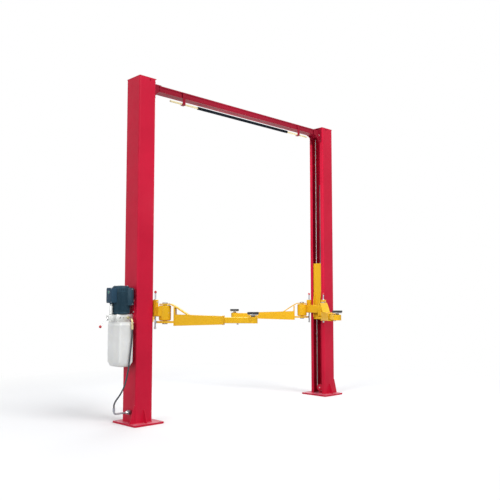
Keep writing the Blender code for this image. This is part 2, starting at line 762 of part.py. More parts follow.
def top_sheaves():
    """Two grooved wheels on one axle."""
    end = CHEEK_FACE + CHEEK_THICKNESS + AXLE_END
    outer = CABLE_Y + SHEAVE_THICKNESS / 2
    inner = CABLE_Y - SHEAVE_THICKNESS / 2
    rim_radius = TOP_SHEAVE_RADIUS + SHEAVE_RIM
    groove = TOP_SHEAVE_RADIUS - CABLE_RADIUS - GROOVE_CLEARANCE
    hub = AXLE_RADIUS + HUB_WALL
    profile = [(0.0, end), (AXLE_RADIUS, end), (AXLE_RADIUS, outer)]
    for middle in (CABLE_Y, -CABLE_Y):
        top, bottom = middle + SHEAVE_THICKNESS / 2, middle - SHEAVE_THICKNESS / 2
        profile += [(rim_radius, top), (groove, middle + GROOVE_HALF),
                    (groove, middle - GROOVE_HALF), (rim_radius, bottom)]
        profile += [(hub, inner), (hub, -inner)] if middle > 0 else []
    profile += [(AXLE_RADIUS, -outer), (AXLE_RADIUS, -end), (0.0, -end)]
    wheel = turned(profile, steps=PIN_STEPS)
    matrix = Matrix.Translation((SHEAVE_X, 0, TOP_SHEAVE_Z)) @ Matrix.Rotation(pi / 2, 4, "X")
    return move_mesh(wheel, matrix)


def bottom_sheave():
    """Grooved wheel that turns the cable back up, on an axle through the base lug."""
    half = SHEAVE_THICKNESS / 2
    rim_radius = CABLE_Y + BOTTOM_RIM
    groove = CABLE_Y - CABLE_RADIUS - GROOVE_CLEARANCE
    tail = -half - SEAT_GAP - LUG_PLATE - AXLE_END
    profile = [(0.0, half), (rim_radius, half), (groove, GROOVE_HALF), (groove, -GROOVE_HALF),
               (rim_radius, -half),
               (BOTTOM_AXLE_RADIUS, -half), (BOTTOM_AXLE_RADIUS, tail), (0.0, tail)]
    wheel = turned(profile)
    matrix = Matrix.Translation((CABLE_X, 0, BOTTOM_SHEAVE_Z)) @ Matrix.Rotation(pi / 2, 4, "Y")
    return move_mesh(wheel, matrix)


def cable_half_loop(y):
    """From the main post's top sheave along the beam to the far post's."""
    run = []
    for i in range(CABLE_TURN_STEPS + 1):
        angle = pi - pi / 2 * i / CABLE_TURN_STEPS
        run.append((SHEAVE_X + TOP_SHEAVE_RADIUS * cos(angle), y,
                    TOP_SHEAVE_Z + TOP_SHEAVE_RADIUS * sin(angle)))
    return run + [(POST_SPACING - x, y, z) for x, _, z in reversed(run)]


def cable_foot(x, from_y):
    turns = [pi * i / FOOT_TURN_STEPS for i in range(FOOT_TURN_STEPS + 1)]
    return [(x, from_y * cos(turn), BOTTOM_SHEAVE_Z - abs(from_y) * sin(turn)) for turn in turns]


def equalizing_cable():
    """One closed loop over both posts' sheaves, along the beam and around the foot sheaves."""
    path = cable_half_loop(-CABLE_Y) + cable_foot(POST_SPACING - CABLE_X, -CABLE_Y)
    path += cable_half_loop(CABLE_Y)[::-1] + cable_foot(CABLE_X, CABLE_Y)
    return tube(path, CABLE_RADIUS, cyclic=True, resolution=1)


def lifting_rod():
    foot_top = POST_BOTTOM + ROD_FOOT_HEIGHT
    profile = [(0.0, ROD_TOP), (ROD_RADIUS - ROD_CHAMFER, ROD_TOP), (ROD_RADIUS, ROD_TOP - ROD_CHAMFER),
               (ROD_RADIUS, foot_top), (ROD_FOOT_RADIUS, foot_top), (ROD_FOOT_RADIUS, POST_BOTTOM),
               (0.0, POST_BOTTOM)]
    return move_mesh(turned(profile), Matrix.Translation((CYLINDER_X, 0, 0)))


def lifting_cylinder():
    """Cylinder that rides up its fixed rod, with a gland below and a collar on the saddle."""
    collar_bottom = SADDLE_TOP + SEAT_GAP
    collar_top = collar_bottom + COLLAR_THICKNESS
    gland_top = CYLINDER_BOTTOM + GLAND_LENGTH
    inside = ROD_RADIUS + ROD_CLEARANCE
    nose_top = CYLINDER_TOP + CYLINDER_NOSE_HEIGHT
    profile = [(0.0, nose_top), (CYLINDER_NOSE_RADIUS, nose_top),
               (CYLINDER_NOSE_RADIUS, CYLINDER_TOP), (CYLINDER_RADIUS, CYLINDER_TOP),
               (CYLINDER_RADIUS, collar_top), (COLLAR_RADIUS, collar_top),
               (COLLAR_RADIUS, collar_bottom), (CYLINDER_RADIUS, collar_bottom),
               (CYLINDER_RADIUS, gland_top), (GLAND_RADIUS, gland_top),
               (GLAND_RADIUS, CYLINDER_BOTTOM), (inside, CYLINDER_BOTTOM),
               (inside, CYLINDER_TOP - CYLINDER_CAP), (0.0, CYLINDER_TOP - CYLINDER_CAP)]
    return move_mesh(turned(profile), Matrix.Translation((CYLINDER_X, 0, 0)))


def carriage():
    """Column that slides in the post, with a saddle, a neck through the opening and arm lugs."""
    web = box((COLUMN_FRONT - COLUMN_WEB, COLUMN_FRONT), (-COLUMN_HALF_DEPTH, COLUMN_HALF_DEPTH),
              (CARRIAGE_BOTTOM, CARRIAGE_TOP))
    pieces = []
    for side in (-1, 1):
        inner, outer = side * (COLUMN_HALF_DEPTH - COLUMN_PLATE), side * COLUMN_HALF_DEPTH
        pieces.append(box((COLUMN_BACK, COLUMN_FRONT), sorted((inner, outer)),
                          (CARRIAGE_BOTTOM, CARRIAGE_TOP)))
        rub_face = side * (HALF_DEPTH - POST_WALL - WEAR_CLEARANCE)
        for low in (CARRIAGE_BOTTOM + WEAR_INSET, CARRIAGE_TOP - WEAR_INSET - WEAR_HEIGHT):
            pieces.append(box((-WEAR_WIDTH / 2, WEAR_WIDTH / 2),
                              sorted((outer - side * WELD, rub_face)), (low, low + WEAR_HEIGHT)))
        neck_in, neck_out = side * (NECK_HALF_WIDTH - NECK_PLATE), side * NECK_HALF_WIDTH
        neck_outline = [(COLUMN_FRONT - WELD, NECK_BOTTOM), (HEAD_START + WELD, NECK_BOTTOM),
                        (HEAD_START + WELD, NECK_SHOULDER), (COLUMN_FRONT - WELD, NECK_TOP)]
        low_y, high_y = sorted((-neck_in, -neck_out))
        pieces.append(plate([neck_outline], low_y, high_y, "Y"))
        lug = turned([(0.0, LUG_TOP), (LUG_RADIUS - LUG_ROUND, LUG_TOP),
                      (LUG_RADIUS, LUG_TOP - LUG_ROUND), (LUG_RADIUS, LUG_BOTTOM + LUG_ROUND),
                      (LUG_RADIUS - LUG_ROUND, LUG_BOTTOM), (0.0, LUG_BOTTOM)], steps=PIN_STEPS)
        pieces.append(move_mesh(lug, Matrix.Translation((PIVOT_X, side * PIVOT_Y, 0))))
        housing_y = (side * LOCK_Y - LOCK_HOUSING_HALF_DEPTH, side * LOCK_Y + LOCK_HOUSING_HALF_DEPTH)
        pieces.append(box((LOCK_HOUSING_START, LOCK_HOUSING_END), housing_y,
                          (HEAD_BOTTOM + WELD, LOCK_HOUSING_TOP), LOCK_HOUSING_ROUND, 1))
    head_half = PIVOT_Y + HEAD_MARGIN
    pieces.append(box((HEAD_START, HEAD_END), (-head_half, head_half), (HEAD_BOTTOM, HEAD_TOP),
                      HEAD_ROUND, 1))
    saddle = box((COLUMN_BACK, COLUMN_FRONT - WELD), (WELD - COLUMN_HALF_DEPTH, COLUMN_HALF_DEPTH - WELD),
                 (SADDLE_TOP - SADDLE_THICKNESS, SADDLE_TOP))
    body = union(web, *pieces, saddle)
    low, high = CARRIAGE_BOTTOM - OVERRUN, CARRIAGE_TOP + OVERRUN
    holes = [bore(CYLINDER_RADIUS + SEAT_GAP, low, high, "Z", (CYLINDER_X, 0.0))]
    for side in (-1, 1):
        holes.append(bore(CABLE_RADIUS + SADDLE_CLEARANCE, low, high, "Z",
                          (CABLE_X, side * CABLE_Y), SMALL_STEPS))
        holes.append(bore(PIN_RADIUS + PIN_CLEARANCE, low, high, "Z",
                          (PIVOT_X, side * PIVOT_Y), PIN_STEPS))
        holes.append(bore(LOCK_ROD_RADIUS + LOCK_CLEARANCE, low, high, "Z",
                          (LOCK_X, side * LOCK_Y), PIN_STEPS))
    return cut(body, *holes)


def toothed_outline():
    """Fork plate around the pivot, toothed behind it and straight-sided toward the tube."""
    half = TUBE_WIDTH / 2
    pitch = 2 * pi / TOOTH_COUNT
    root = SECTOR_RADIUS - TOOTH_HEIGHT
    outline = [(FORK_WEB_START + WELD, -half), (FORK_WEB_START + WELD, half)]
    first = int((pi - SECTOR_HALF_ANGLE) / pitch) + 1
    profile = ((-TOOTH_ROOT_SHARE, root), (-TOOTH_TIP_SHARE, SECTOR_RADIUS),
               (TOOTH_TIP_SHARE, SECTOR_RADIUS), (TOOTH_ROOT_SHARE, root))
    for i in range(first, TOOTH_COUNT - first + 1):
        for share, radius in profile:
            angle = (i + share) * pitch
            outline.append((radius * cos(angle), radius * sin(angle)))
    return outline


def fork_strap():
    """Upper strap of the fork: level over the lug, then down over the web to the tube."""
    foot = TUBE_CENTRE_Z + TUBE_ROOT_HEIGHT / 2 - STRAP_FOOT_SINK
    top_line = [(0.0, FORK_UPPER_TOP), (STRAP_START, FORK_UPPER_TOP),
                (STRAP_BEND, FORK_UPPER_TOP - STRAP_DROP), (STRAP_END, foot)]
    slope = atan2(FORK_UPPER_TOP - STRAP_DROP - foot, STRAP_END - STRAP_BEND)
    lean = FORK_UPPER_THICKNESS * sin(slope)
    low_line = [(STRAP_END - lean, foot - FORK_UPPER_THICKNESS * cos(slope)),
                (STRAP_BEND - lean / 2, FORK_UPPER_BOTTOM - STRAP_DROP),
                (STRAP_START, FORK_UPPER_BOTTOM), (0.0, FORK_UPPER_BOTTOM)]
    return plate([top_line + low_line], -TUBE_WIDTH / 2, TUBE_WIDTH / 2, "Y")


def arm():
    """Fork with its pin and toothed sector, a bent strap, a web and the tapered outer tube."""
    half = TUBE_WIDTH / 2
    body = plate([toothed_outline()], FORK_LOWER_BOTTOM, FORK_LOWER_TOP)
    upper_disc = cylinder(FORK_RADIUS, FORK_UPPER_BOTTOM, FORK_UPPER_TOP)
    root_low = TUBE_CENTRE_Z - TUBE_ROOT_HEIGHT / 2
    root_high = TUBE_CENTRE_Z + TUBE_ROOT_HEIGHT / 2
    web_end = FORK_WEB_START + FORK_WEB_THICKNESS
    web = box((FORK_WEB_START, web_end), (-half, half),
              (root_low, FORK_UPPER_BOTTOM - STRAP_DROP + WELD))
    tip_low = TUBE_CENTRE_Z - TUBE_TIP_HEIGHT / 2
    tip_high = TUBE_CENTRE_Z + TUBE_TIP_HEIGHT / 2
    tube_outline = [(web_end - WELD, root_low), (TUBE_END, tip_low), (TUBE_END, tip_high),
                    (web_end - WELD, root_high)]
    outer_tube = plate([tube_outline], -half, half, "Y")
    rim = TUBE_COLLAR_RISE
    collar = box((TUBE_END - TUBE_COLLAR_LENGTH, TUBE_END), (-half - rim, half + rim),
                 (tip_low - rim, tip_high + rim))
    head_top = FORK_UPPER_TOP + PIN_HEAD_HEIGHT
    foot_bottom = FORK_LOWER_BOTTOM - PIN_HEAD_HEIGHT
    pin = turned([(0.0, head_top), (PIN_HEAD_RADIUS, head_top),
                  (PIN_HEAD_RADIUS, FORK_UPPER_TOP - WELD), (PIN_RADIUS, FORK_UPPER_TOP - WELD),
                  (PIN_RADIUS, FORK_LOWER_BOTTOM + WELD), (PIN_HEAD_RADIUS, FORK_LOWER_BOTTOM + WELD),
                  (PIN_HEAD_RADIUS, foot_bottom), (0.0, foot_bottom)], steps=PIN_STEPS)
    side_room = EXTENSION_WIDTH / 2 + EXTENSION_CLEARANCE
    hollow = box((web_end + WELD, TUBE_END + OVERRUN), (-side_room, side_room),
                 (EXTENSION_BOTTOM - SEAT_GAP, EXTENSION_TOP + EXTENSION_CLEARANCE))
    body = union(body, upper_disc, fork_strap(), web, outer_tube, collar, pin)
    return cut(body, hollow)


def extension():
    """Square tube with a boss, a short stem and a dish for the pad at its end."""
    half = EXTENSION_WIDTH / 2
    body = box((EXTENSION_START, PAD_REACH), (-half, half), (EXTENSION_BOTTOM, EXTENSION_TOP),
               EXTENSION_ROUND, 1)
    inner = half - EXTENSION_WALL
    hollow = box((EXTENSION_START - OVERRUN, PAD_REACH - BOSS_RADIUS - OVERRUN), (-inner, inner),
                 (EXTENSION_BOTTOM + EXTENSION_WALL, EXTENSION_TOP - EXTENSION_WALL))
    body = cut(body, hollow)
    dish_bottom = EXTENSION_TOP + STEM_HEIGHT
    dish_top = dish_bottom + DISH_THICKNESS
    boss = turned([(0.0, dish_top), (DISH_RADIUS, dish_top), (DISH_RADIUS, dish_bottom),
                   (STEM_RADIUS, dish_bottom), (STEM_RADIUS, EXTENSION_TOP + BOSS_CHAMFER),
                   (BOSS_RADIUS - BOSS_CHAMFER, EXTENSION_TOP + BOSS_CHAMFER),
                   (BOSS_RADIUS, EXTENSION_TOP), (BOSS_RADIUS, EXTENSION_BOTTOM),
                   (0.0, EXTENSION_BOTTOM)], steps=PIN_STEPS)
    move_mesh(boss, Matrix.Translation((PAD_REACH, 0, 0)))
    bolt = cylinder(STOP_BOLT_RADIUS, EXTENSION_BOTTOM - STOP_BOLT_HEIGHT, EXTENSION_BOTTOM + WELD,
                    "Z", (STOP_BOLT_X, 0.0), 6)
    return union(body, boss, bolt)


def pad():
    """Round rubber pad with a ring groove in its top."""
    low = EXTENSION_TOP + STEM_HEIGHT + DISH_THICKNESS + SEAT_GAP
    high = low + PAD_THICKNESS
    ring_in = PAD_RING * PAD_RADIUS - PAD_GROOVE / 2
    ring_out = ring_in + PAD_GROOVE
    profile = [(0.0, high), (ring_in, high), (ring_in, high - PAD_GROOVE),
               (ring_out, high - PAD_GROOVE), (ring_out, high), (PAD_RADIUS - PAD_CHAMFER, high),
               (PAD_RADIUS, high - PAD_CHAMFER), (PAD_RADIUS, low), (0.0, low)]
    return move_mesh(turned(profile, steps=PIN_STEPS), Matrix.Translation((PAD_REACH, 0, 0)))


def arm_lock(side):
    """Pull rod with a knob and a toothed block that faces the arm's sector."""
    toward = atan2(side * (LOCK_Y - PIVOT_Y), LOCK_X - PIVOT_X)
    inner = SECTOR_RADIUS + TOOTH_CLEARANCE
    outer = inner + LOCK_BLOCK_REACH
    outline = []
    for i in range(BLOCK_BACK_STEPS + 1):
        angle = toward + LOCK_BLOCK_SPAN * (2 * i / BLOCK_BACK_STEPS - 1)
        outline.append((outer * cos(angle), outer * sin(angle)))
    for i in range(BLOCK_FACE_STEPS + 1):
        offset = LOCK_BLOCK_SPAN * (1 - 2 * i / BLOCK_FACE_STEPS)
        radius = inner + BLOCK_TOOTH_HEIGHT * (0.5 + 0.5 * cos(TOOTH_COUNT * offset))
        outline.append((radius * cos(toward + offset), radius * sin(toward + offset)))
    block = plate([outline], LOCK_BLOCK_BOTTOM, LOCK_BLOCK_TOP)
    move_mesh(block, Matrix.Translation((PIVOT_X - LOCK_X, side * (PIVOT_Y - LOCK_Y), 0)))
    rod = cylinder(LOCK_ROD_RADIUS, LOCK_ROD_BOTTOM, LOCK_ROD_TOP, steps=PIN_STEPS)
    knob_middle = LOCK_ROD_TOP - KNOB_SINK + LOCK_KNOB_RADIUS
    knob = move_mesh(ball(LOCK_KNOB_RADIUS), Matrix.Translation((0, 0, knob_middle)))
    return union(rod, block, knob)


def unit_bracket():
    outline = rounded_rectangle((-UNIT_PLATE_HALF_WIDTH, UNIT_PLATE_HALF_WIDTH),
                                (UNIT_PLATE_BOTTOM, UNIT_PLATE_TOP), UNIT_PLATE_CORNER)
    return plate([outline], UNIT_PLATE_FACE, UNIT_PLATE_FACE + UNIT_PLATE, "X")


def pump_block():
    """Manifold between motor and tank, with a nose for the lowering valve and the lever."""
    block = box((BLOCK_START, UNIT_PLATE_FACE - SEAT_GAP), (-BLOCK_HALF_WIDTH, BLOCK_HALF_WIDTH),
                (BLOCK_BOTTOM, BLOCK_TOP), BLOCK_ROUND)
    nose = box((NOSE_START, BLOCK_START + OVERRUN), (-NOSE_HALF_WIDTH, NOSE_HALF_WIDTH),
               (BLOCK_BOTTOM + BLOCK_ROUND, BLOCK_TOP - BLOCK_ROUND))
    neck = VALVE_RADIUS * VALVE_NECK
    shoulder = BLOCK_TOP + VALVE_HEIGHT * VALVE_SHOULDER
    seat = BLOCK_TOP - BLOCK_ROUND - WELD
    valve = turned([(0.0, BLOCK_TOP + VALVE_HEIGHT), (neck, BLOCK_TOP + VALVE_HEIGHT), (neck, shoulder),
                    (VALVE_RADIUS, shoulder), (VALVE_RADIUS, seat), (0.0, seat)], steps=SMALL_STEPS)
    move_mesh(valve, Matrix.Translation((VALVE_X, 0, 0)))
    slot_half = LEVER_HUB_HALF_WIDTH + LEVER_PLAY
    ears = []
    for side in (-1, 1):
        span = sorted((side * slot_half, side * (slot_half + LEVER_EAR)))
        ears.append(box((LEVER_X - LEVER_EAR_HALF, NOSE_START + WELD), span,
                        (LEVER_Z - LEVER_EAR_HALF, LEVER_Z + LEVER_EAR_HALF - WELD)))
    slot = box((LEVER_X - LEVER_EAR_HALF - OVERRUN, LEVER_X + LEVER_HUB_RADIUS + WELD),
               (-slot_half, slot_half), (BLOCK_BOTTOM - OVERRUN, BLOCK_TOP - BLOCK_ROUND - WELD))
    reach = slot_half + LEVER_EAR + OVERRUN
    pin_hole = bore(LEVER_PIN_RADIUS + LEVER_PIN_CLEARANCE, -reach, reach, "Y", (LEVER_X, LEVER_Z),
                    SMALL_STEPS)
    return cut(union(block, nose, valve, *ears), slot, pin_hole)


def lever():
    """Hand lever with its hub, pin and ball knob, drawn about the hinge."""
    hub = cylinder(LEVER_HUB_RADIUS, -LEVER_HUB_HALF_WIDTH, LEVER_HUB_HALF_WIDTH, "Y", steps=SMALL_STEPS)
    reach = LEVER_HUB_HALF_WIDTH + LEVER_PLAY + LEVER_EAR
    pin = cylinder(LEVER_PIN_RADIUS, -reach, reach, "Y", steps=SMALL_STEPS)
    tip = (-LEVER_LENGTH * cos(LEVER_DROP), 0.0, -LEVER_LENGTH * sin(LEVER_DROP))
    handle = tube([(0, 0, 0), tip], LEVER_RADIUS)
    knob = move_mesh(ball(KNOB_RADIUS), Matrix.Translation(tip))
    return union(hub, pin, handle, knob)


def motor():
    """Finned electric motor with a flange, a crowned end bell and a capacitor cover."""
    pitch = 2 * pi / MOTOR_FINS
    fin_top = MOTOR_RADIUS + MOTOR_FIN_HEIGHT
    outline = []
    for i in range(MOTOR_FINS):
        for share, radius in ((-FIN_ROOT_SHARE, MOTOR_RADIUS), (-FIN_TIP_SHARE, fin_top),
                              (FIN_TIP_SHARE, fin_top), (FIN_ROOT_SHARE, MOTOR_RADIUS)):
            angle = (i + share) * pitch
            outline.append((radius * cos(angle), radius * sin(angle)))
    body = plate([outline], MOTOR_FIN_BOTTOM, MOTOR_FIN_TOP)
    bottom = BLOCK_TOP + SEAT_GAP
    rim = MOTOR_RADIUS + MOTOR_BAND
    inner = MOTOR_RADIUS - MOTOR_BAND
    profile = [(0.0, MOTOR_TOP)]
    for i in range(1, CROWN_STEPS + 1):
        angle = pi / 2 * i / CROWN_STEPS
        profile.append((rim - MOTOR_CROWN * (1 - sin(angle)), MOTOR_TOP - MOTOR_CROWN * (1 - cos(angle))))
    profile += [(rim, MOTOR_FIN_TOP + MOTOR_STEP), (inner, MOTOR_FIN_TOP), (inner, MOTOR_FIN_BOTTOM),
                (rim, MOTOR_FIN_BOTTOM - MOTOR_STEP), (rim, bottom + MOTOR_STEP),
                (MOTOR_RADIUS - MOTOR_FOOT, bottom), (0.0, bottom)]
    core = turned(profile)
    cover = box((-CAPACITOR_HALF_WIDTH, CAPACITOR_HALF_WIDTH),
                (-MOTOR_RADIUS - CAPACITOR_DEPTH, CAPACITOR_SINK - MOTOR_RADIUS),
                (CAPACITOR_BOTTOM, CAPACITOR_TOP), CAPACITOR_ROUND)
    move_mesh(cover, Matrix.Rotation(CAPACITOR_ANGLE, 4, "Z"))
    return move_mesh(union(body, core, cover), Matrix.Translation((UNIT_X, 0, 0)))


def switch_box():
    """Switch box on the motor's outer side, hollowed to the motor's round body."""
    back = UNIT_X - MOTOR_RADIUS - MOTOR_FIN_HEIGHT
    face = back - SWITCH_DEPTH
    body = box((face, back + SWITCH_WRAP), (-SWITCH_HALF_WIDTH, SWITCH_HALF_WIDTH),
               (SWITCH_BOTTOM, SWITCH_TOP), SWITCH_ROUND)
    button = cylinder(BUTTON_RADIUS, face - BUTTON_HEIGHT, face + WELD, "X",
                      (0.0, SWITCH_TOP - BUTTON_DROP), SMALL_STEPS)
    room = bore(MOTOR_RADIUS + MOTOR_FIN_HEIGHT + SEAT_GAP, SWITCH_BOTTOM - OVERRUN,
                SWITCH_TOP + OVERRUN, "Z", (UNIT_X, 0.0), SWITCH_ROOM_STEPS)
    return cut(union(body, button), room)


def reservoir():
    """Rounded oil tank that narrows at its foot, with a rim under the pump block."""
    half_x, half_y = TANK_LENGTH / 2, TANK_WIDTH / 2
    body = box((-half_x, half_x), (-half_y, half_y), (TANK_BOTTOM, TANK_TOP), TANK_ROUND, 3)
    for vertex in body.data.vertices:
        depth = max(0.0, TANK_BOTTOM + TANK_TAPER_HEIGHT - vertex.co.z) / TANK_TAPER_HEIGHT
        vertex.co.x *= 1 - depth * TANK_TAPER / half_x
        vertex.co.y *= 1 - depth * TANK_TAPER / half_y
    rim_outline = rounded_rectangle((TANK_RIM_INSET - half_x, half_x - TANK_RIM_INSET),
                                    (TANK_RIM_INSET - half_y, half_y - TANK_RIM_INSET), TANK_ROUND)
    rim = plate([rim_outline], TANK_TOP - TANK_RIM, BLOCK_BOTTOM - SEAT_GAP)
    return move_mesh(union(body, rim), Matrix.Translation((UNIT_X, 0, 0)))


def pressure_fitting():
    """Elbow from the pump block's side that turns down to the hose."""
    start_y = -BLOCK_HALF_WIDTH - SEAT_GAP
    bend = start_y - HOSE_TOP_Y - ELBOW_LEAD
    arc = []
    for i in range(ELBOW_STEPS + 1):
        angle = pi / 2 * i / ELBOW_STEPS
        arc.append((HOSE_TOP_X, HOSE_TOP_Y + bend * (1 - sin(angle)), ELBOW_Z - bend * (1 - cos(angle))))
    low = HOSE_TOP_Z + SEAT_GAP
    pipe = tube([(HOSE_TOP_X, start_y, ELBOW_Z), *arc, (HOSE_TOP_X, HOSE_TOP_Y, low + OVERRUN)],
                ELBOW_RADIUS)
    nut = cylinder(FITTING_RADIUS, low, low + FITTING_LENGTH, "Z", (HOSE_TOP_X, HOSE_TOP_Y), 6)
    collar = cylinder(FITTING_RADIUS + ELBOW_COLLAR_MARGIN, start_y - ELBOW_COLLAR, start_y, "Y",
                      (HOSE_TOP_X, ELBOW_Z), 6)
    return union(pipe, nut, collar)


def hose_knots():
    """Route of the hose, from the nut by the tank down to the ferrule at the post's foot."""
    end_z = PORT_Z + PORT_BEND + FERRULE_LENGTH + SEAT_GAP
    upper = [(HOSE_TOP_X, HOSE_TOP_Y, HOSE_TOP_Z - i * HOSE_LEAD) for i in range(3)]
    lower = [(PORT_BEND_X, PORT_Y, end_z + i * HOSE_LEAD) for i in (2, 1, 0)]
    return [*upper, *HOSE_ROUTE, *lower]


def hose():
    return tube(smooth_path(hose_knots(), HOSE_STEPS), HOSE_RADIUS)


def hose_connector():
    """Port block on the post with a pipe that bends up to the hose's ferrule."""
    face = -HALF_WIDTH - SEAT_GAP
    block_end = face - PORT_BLOCK_LENGTH
    block = box((block_end, face), (PORT_Y - PORT_BLOCK_HALF, PORT_Y + PORT_BLOCK_HALF),
                (PORT_Z - PORT_BLOCK_HALF, PORT_Z + PORT_BLOCK_HALF), PORT_BLOCK_ROUND, 1)
    arc = []
    for i in range(ELBOW_STEPS + 1):
        angle = pi / 2 * i / ELBOW_STEPS
        arc.append((PORT_BEND_X + PORT_BEND * (1 - sin(angle)), PORT_Y,
                    PORT_Z + PORT_BEND * (1 - cos(angle))))
    top = PORT_Z + PORT_BEND + FERRULE_LENGTH
    pipe = tube([(block_end + WELD, PORT_Y, PORT_Z), *arc, (PORT_BEND_X, PORT_Y, top - OVERRUN)],
                PORT_PIPE_RADIUS)
    ferrule = cylinder(FERRULE_RADIUS, top - FERRULE_LENGTH, top, "Z", (PORT_BEND_X, PORT_Y), SMALL_STEPS)
    nut = cylinder(FERRULE_RADIUS + NUT_MARGIN, block_end - NUT_LENGTH, block_end + WELD, "X",
                   (PORT_Y, PORT_Z), 6)
    return union(block, pipe, ferrule, nut)


def shutoff_bar():
    middle = POST_SPACING / 2
    return cylinder(BAR_RADIUS, middle - BAR_HALF_LENGTH, middle + BAR_HALF_LENGTH, "X",
                    (BAR_Y, BAR_Z), SMALL_STEPS)


def foam_sleeve():
    middle = POST_SPACING / 2
    span = (middle - FOAM_HALF_LENGTH, middle + FOAM_HALF_LENGTH)
    sleeve = cylinder(FOAM_RADIUS, *span, "X", (BAR_Y, BAR_Z))
    hollow = bore(BAR_RADIUS + SEAT_GAP, span[0] - OVERRUN, span[1] + OVERRUN, "X", (BAR_Y, BAR_Z))
    return cut(sleeve, hollow)


def build_sides():
    """Everything that both posts have, made once and repeated on the far side."""
    main = anchor_empty("main_side", (0, 0, 0))
    far = anchor_empty("far_side", (POST_SPACING, 0, 0), pi)
    finish(base_plate(-1), "main_base_plate", RED_PAINT, main)
    finish(base_plate(1), "far_base_plate", RED_PAINT, far)
    fixed = [("post", post, RED_PAINT), ("post_cap", post_cap, RED_PAINT),
             ("beam_bracket", beam_bracket, RED_PAINT),
             ("top_sheaves", top_sheaves, DARK_STEEL), ("bottom_sheave", bottom_sheave, DARK_STEEL),
             ("lifting_rod", lifting_rod, BRIGHT_STEEL)]
    for name, make, material in fixed:
        piece = finish(make(), "main_" + name, material, main)
        repeat(piece, "far_" + name, far)
    carriages = {"main": anchor_empty("main_lift", (0, 0, 0), parent=main),
                 "far": anchor_empty("far_lift", (0, 0, 0), parent=far)}
    for name, make, material in (("carriage", carriage, YELLOW_PAINT),
                                 ("cylinder", lifting_cylinder, CYLINDER_PAINT)):
        piece = finish(make(), "main_" + name, material, carriages["main"])
        repeat(piece, "far_" + name, carriages["far"])
    masters = {}
    for post_name, carrier in carriages.items():
        for local_side in (-1, 1):
            world_side = local_side if post_name == "main" else -local_side
            corner = post_name + ("_front" if world_side < 0 else "_rear")
            pivot = anchor_empty(corner + "_pivot", (PIVOT_X, local_side * PIVOT_Y, 0),
                                 local_side * ARM_ANGLE, carrier)
            for name, make, material in (("arm", arm, YELLOW_PAINT),
                                         ("arm_extension", extension, YELLOW_PAINT),
                                         ("arm_pad", pad, RUBBER)):
                if name in masters:
                    repeat(masters[name], corner + "_" + name, pivot)
                else:
                    masters[name] = finish(make(), corner + "_" + name, material, pivot)
            lock_base = anchor_empty(corner + "_lock_base", (LOCK_X, local_side * LOCK_Y, 0),
                                     parent=carrier)
            key = ("lock", local_side)
            if key in masters:
                repeat(masters[key], corner + "_arm_lock", lock_base)
            else:
                masters[key] = finish(arm_lock(local_side), corner + "_arm_lock", KNOB_PLASTIC,
                                      lock_base)


def build_overhead():
    finish(crossbeam(), "crossbeam", RED_PAINT)
    middle = POST_SPACING / 2
    finish(bar_hanger(middle - HANGER_OFFSET), "main_bar_hanger", RED_PAINT)
    finish(bar_hanger(middle + HANGER_OFFSET), "far_bar_hanger", RED_PAINT)
    finish(shutoff_bar(), "shutoff_bar", BAR_PAINT)
    finish(foam_sleeve(), "foam_sleeve", FOAM)
    finish(equalizing_cable(), "equalizing_cable", CABLE_STEEL)


def build_power_unit():
    finish(unit_bracket(), "power_unit_bracket", RED_PAINT)
    finish(pump_block(), "pump_block", BLOCK_METAL)
    finish(motor(), "motor", MOTOR_PAINT)
    finish(switch_box(), "switch_box", SWITCH_PLASTIC)
    finish(reservoir(), "reservoir", TANK_PLASTIC)
    hinge = anchor_empty("lever_hinge", (LEVER_X, 0, LEVER_Z))
    finish(lever(), "lowering_lever", KNOB_PLASTIC, hinge)
    finish(pressure_fitting(), "pressure_fitting", BRASS)
    finish(hose(), "pressure_hose", HOSE_RUBBER)
    finish(hose_connector(), "hose_connector", BRIGHT_STEEL)


build_sides()
build_overhead()
build_power_unit()
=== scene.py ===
"""Look scene of the two post car lift: materials, finer pieces, fasteners, light and camera."""
from math import atan2, cos, hypot, pi, radians, sin

import bmesh
import bpy
from mathutils import Matrix, Vector, noise


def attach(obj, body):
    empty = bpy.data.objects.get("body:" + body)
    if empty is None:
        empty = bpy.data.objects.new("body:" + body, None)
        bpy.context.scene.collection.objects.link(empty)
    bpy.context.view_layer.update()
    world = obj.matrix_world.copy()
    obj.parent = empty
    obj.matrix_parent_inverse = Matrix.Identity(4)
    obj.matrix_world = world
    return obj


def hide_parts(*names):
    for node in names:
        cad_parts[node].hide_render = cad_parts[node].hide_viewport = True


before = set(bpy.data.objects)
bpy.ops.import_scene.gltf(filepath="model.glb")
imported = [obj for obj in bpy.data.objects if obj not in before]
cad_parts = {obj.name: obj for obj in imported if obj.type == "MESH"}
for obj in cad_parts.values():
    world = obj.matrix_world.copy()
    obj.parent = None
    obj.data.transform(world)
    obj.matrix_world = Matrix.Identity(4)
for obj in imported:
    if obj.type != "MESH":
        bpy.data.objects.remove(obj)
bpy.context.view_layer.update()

# Sizes shared with the solids, in metres
POST_SPACING = 2.976
MIDDLE_X = POST_SPACING / 2
FAR_TURN = Matrix.Translation((POST_SPACING, 0, 0)) @ Matrix.Rotation(pi, 4, "Z")
HERE = Matrix.Identity(4)
SIDES = {"main": HERE, "far": FAR_TURN}
CORNERS = {"main_front": (HERE, -1), "main_rear": (HERE, 1), "far_front": (FAR_TURN, 1),
           "far_rear": (FAR_TURN, -1)}
PIVOT_X, PIVOT_Y = 0.205, 0.18
ARM_ANGLE = radians(50.0)
ARM_END = 0.92
LOCK_X, LOCK_Y = 0.122, 0.125
SHEAVE_X, SHEAVE_Y, SHEAVE_Z = 0.103, 0.043, 3.497
FOOT_SHEAVE_X, FOOT_SHEAVE_Z = 0.058, 0.09
BRACKET_FACE = 0.0672
UNIT_X = -0.217
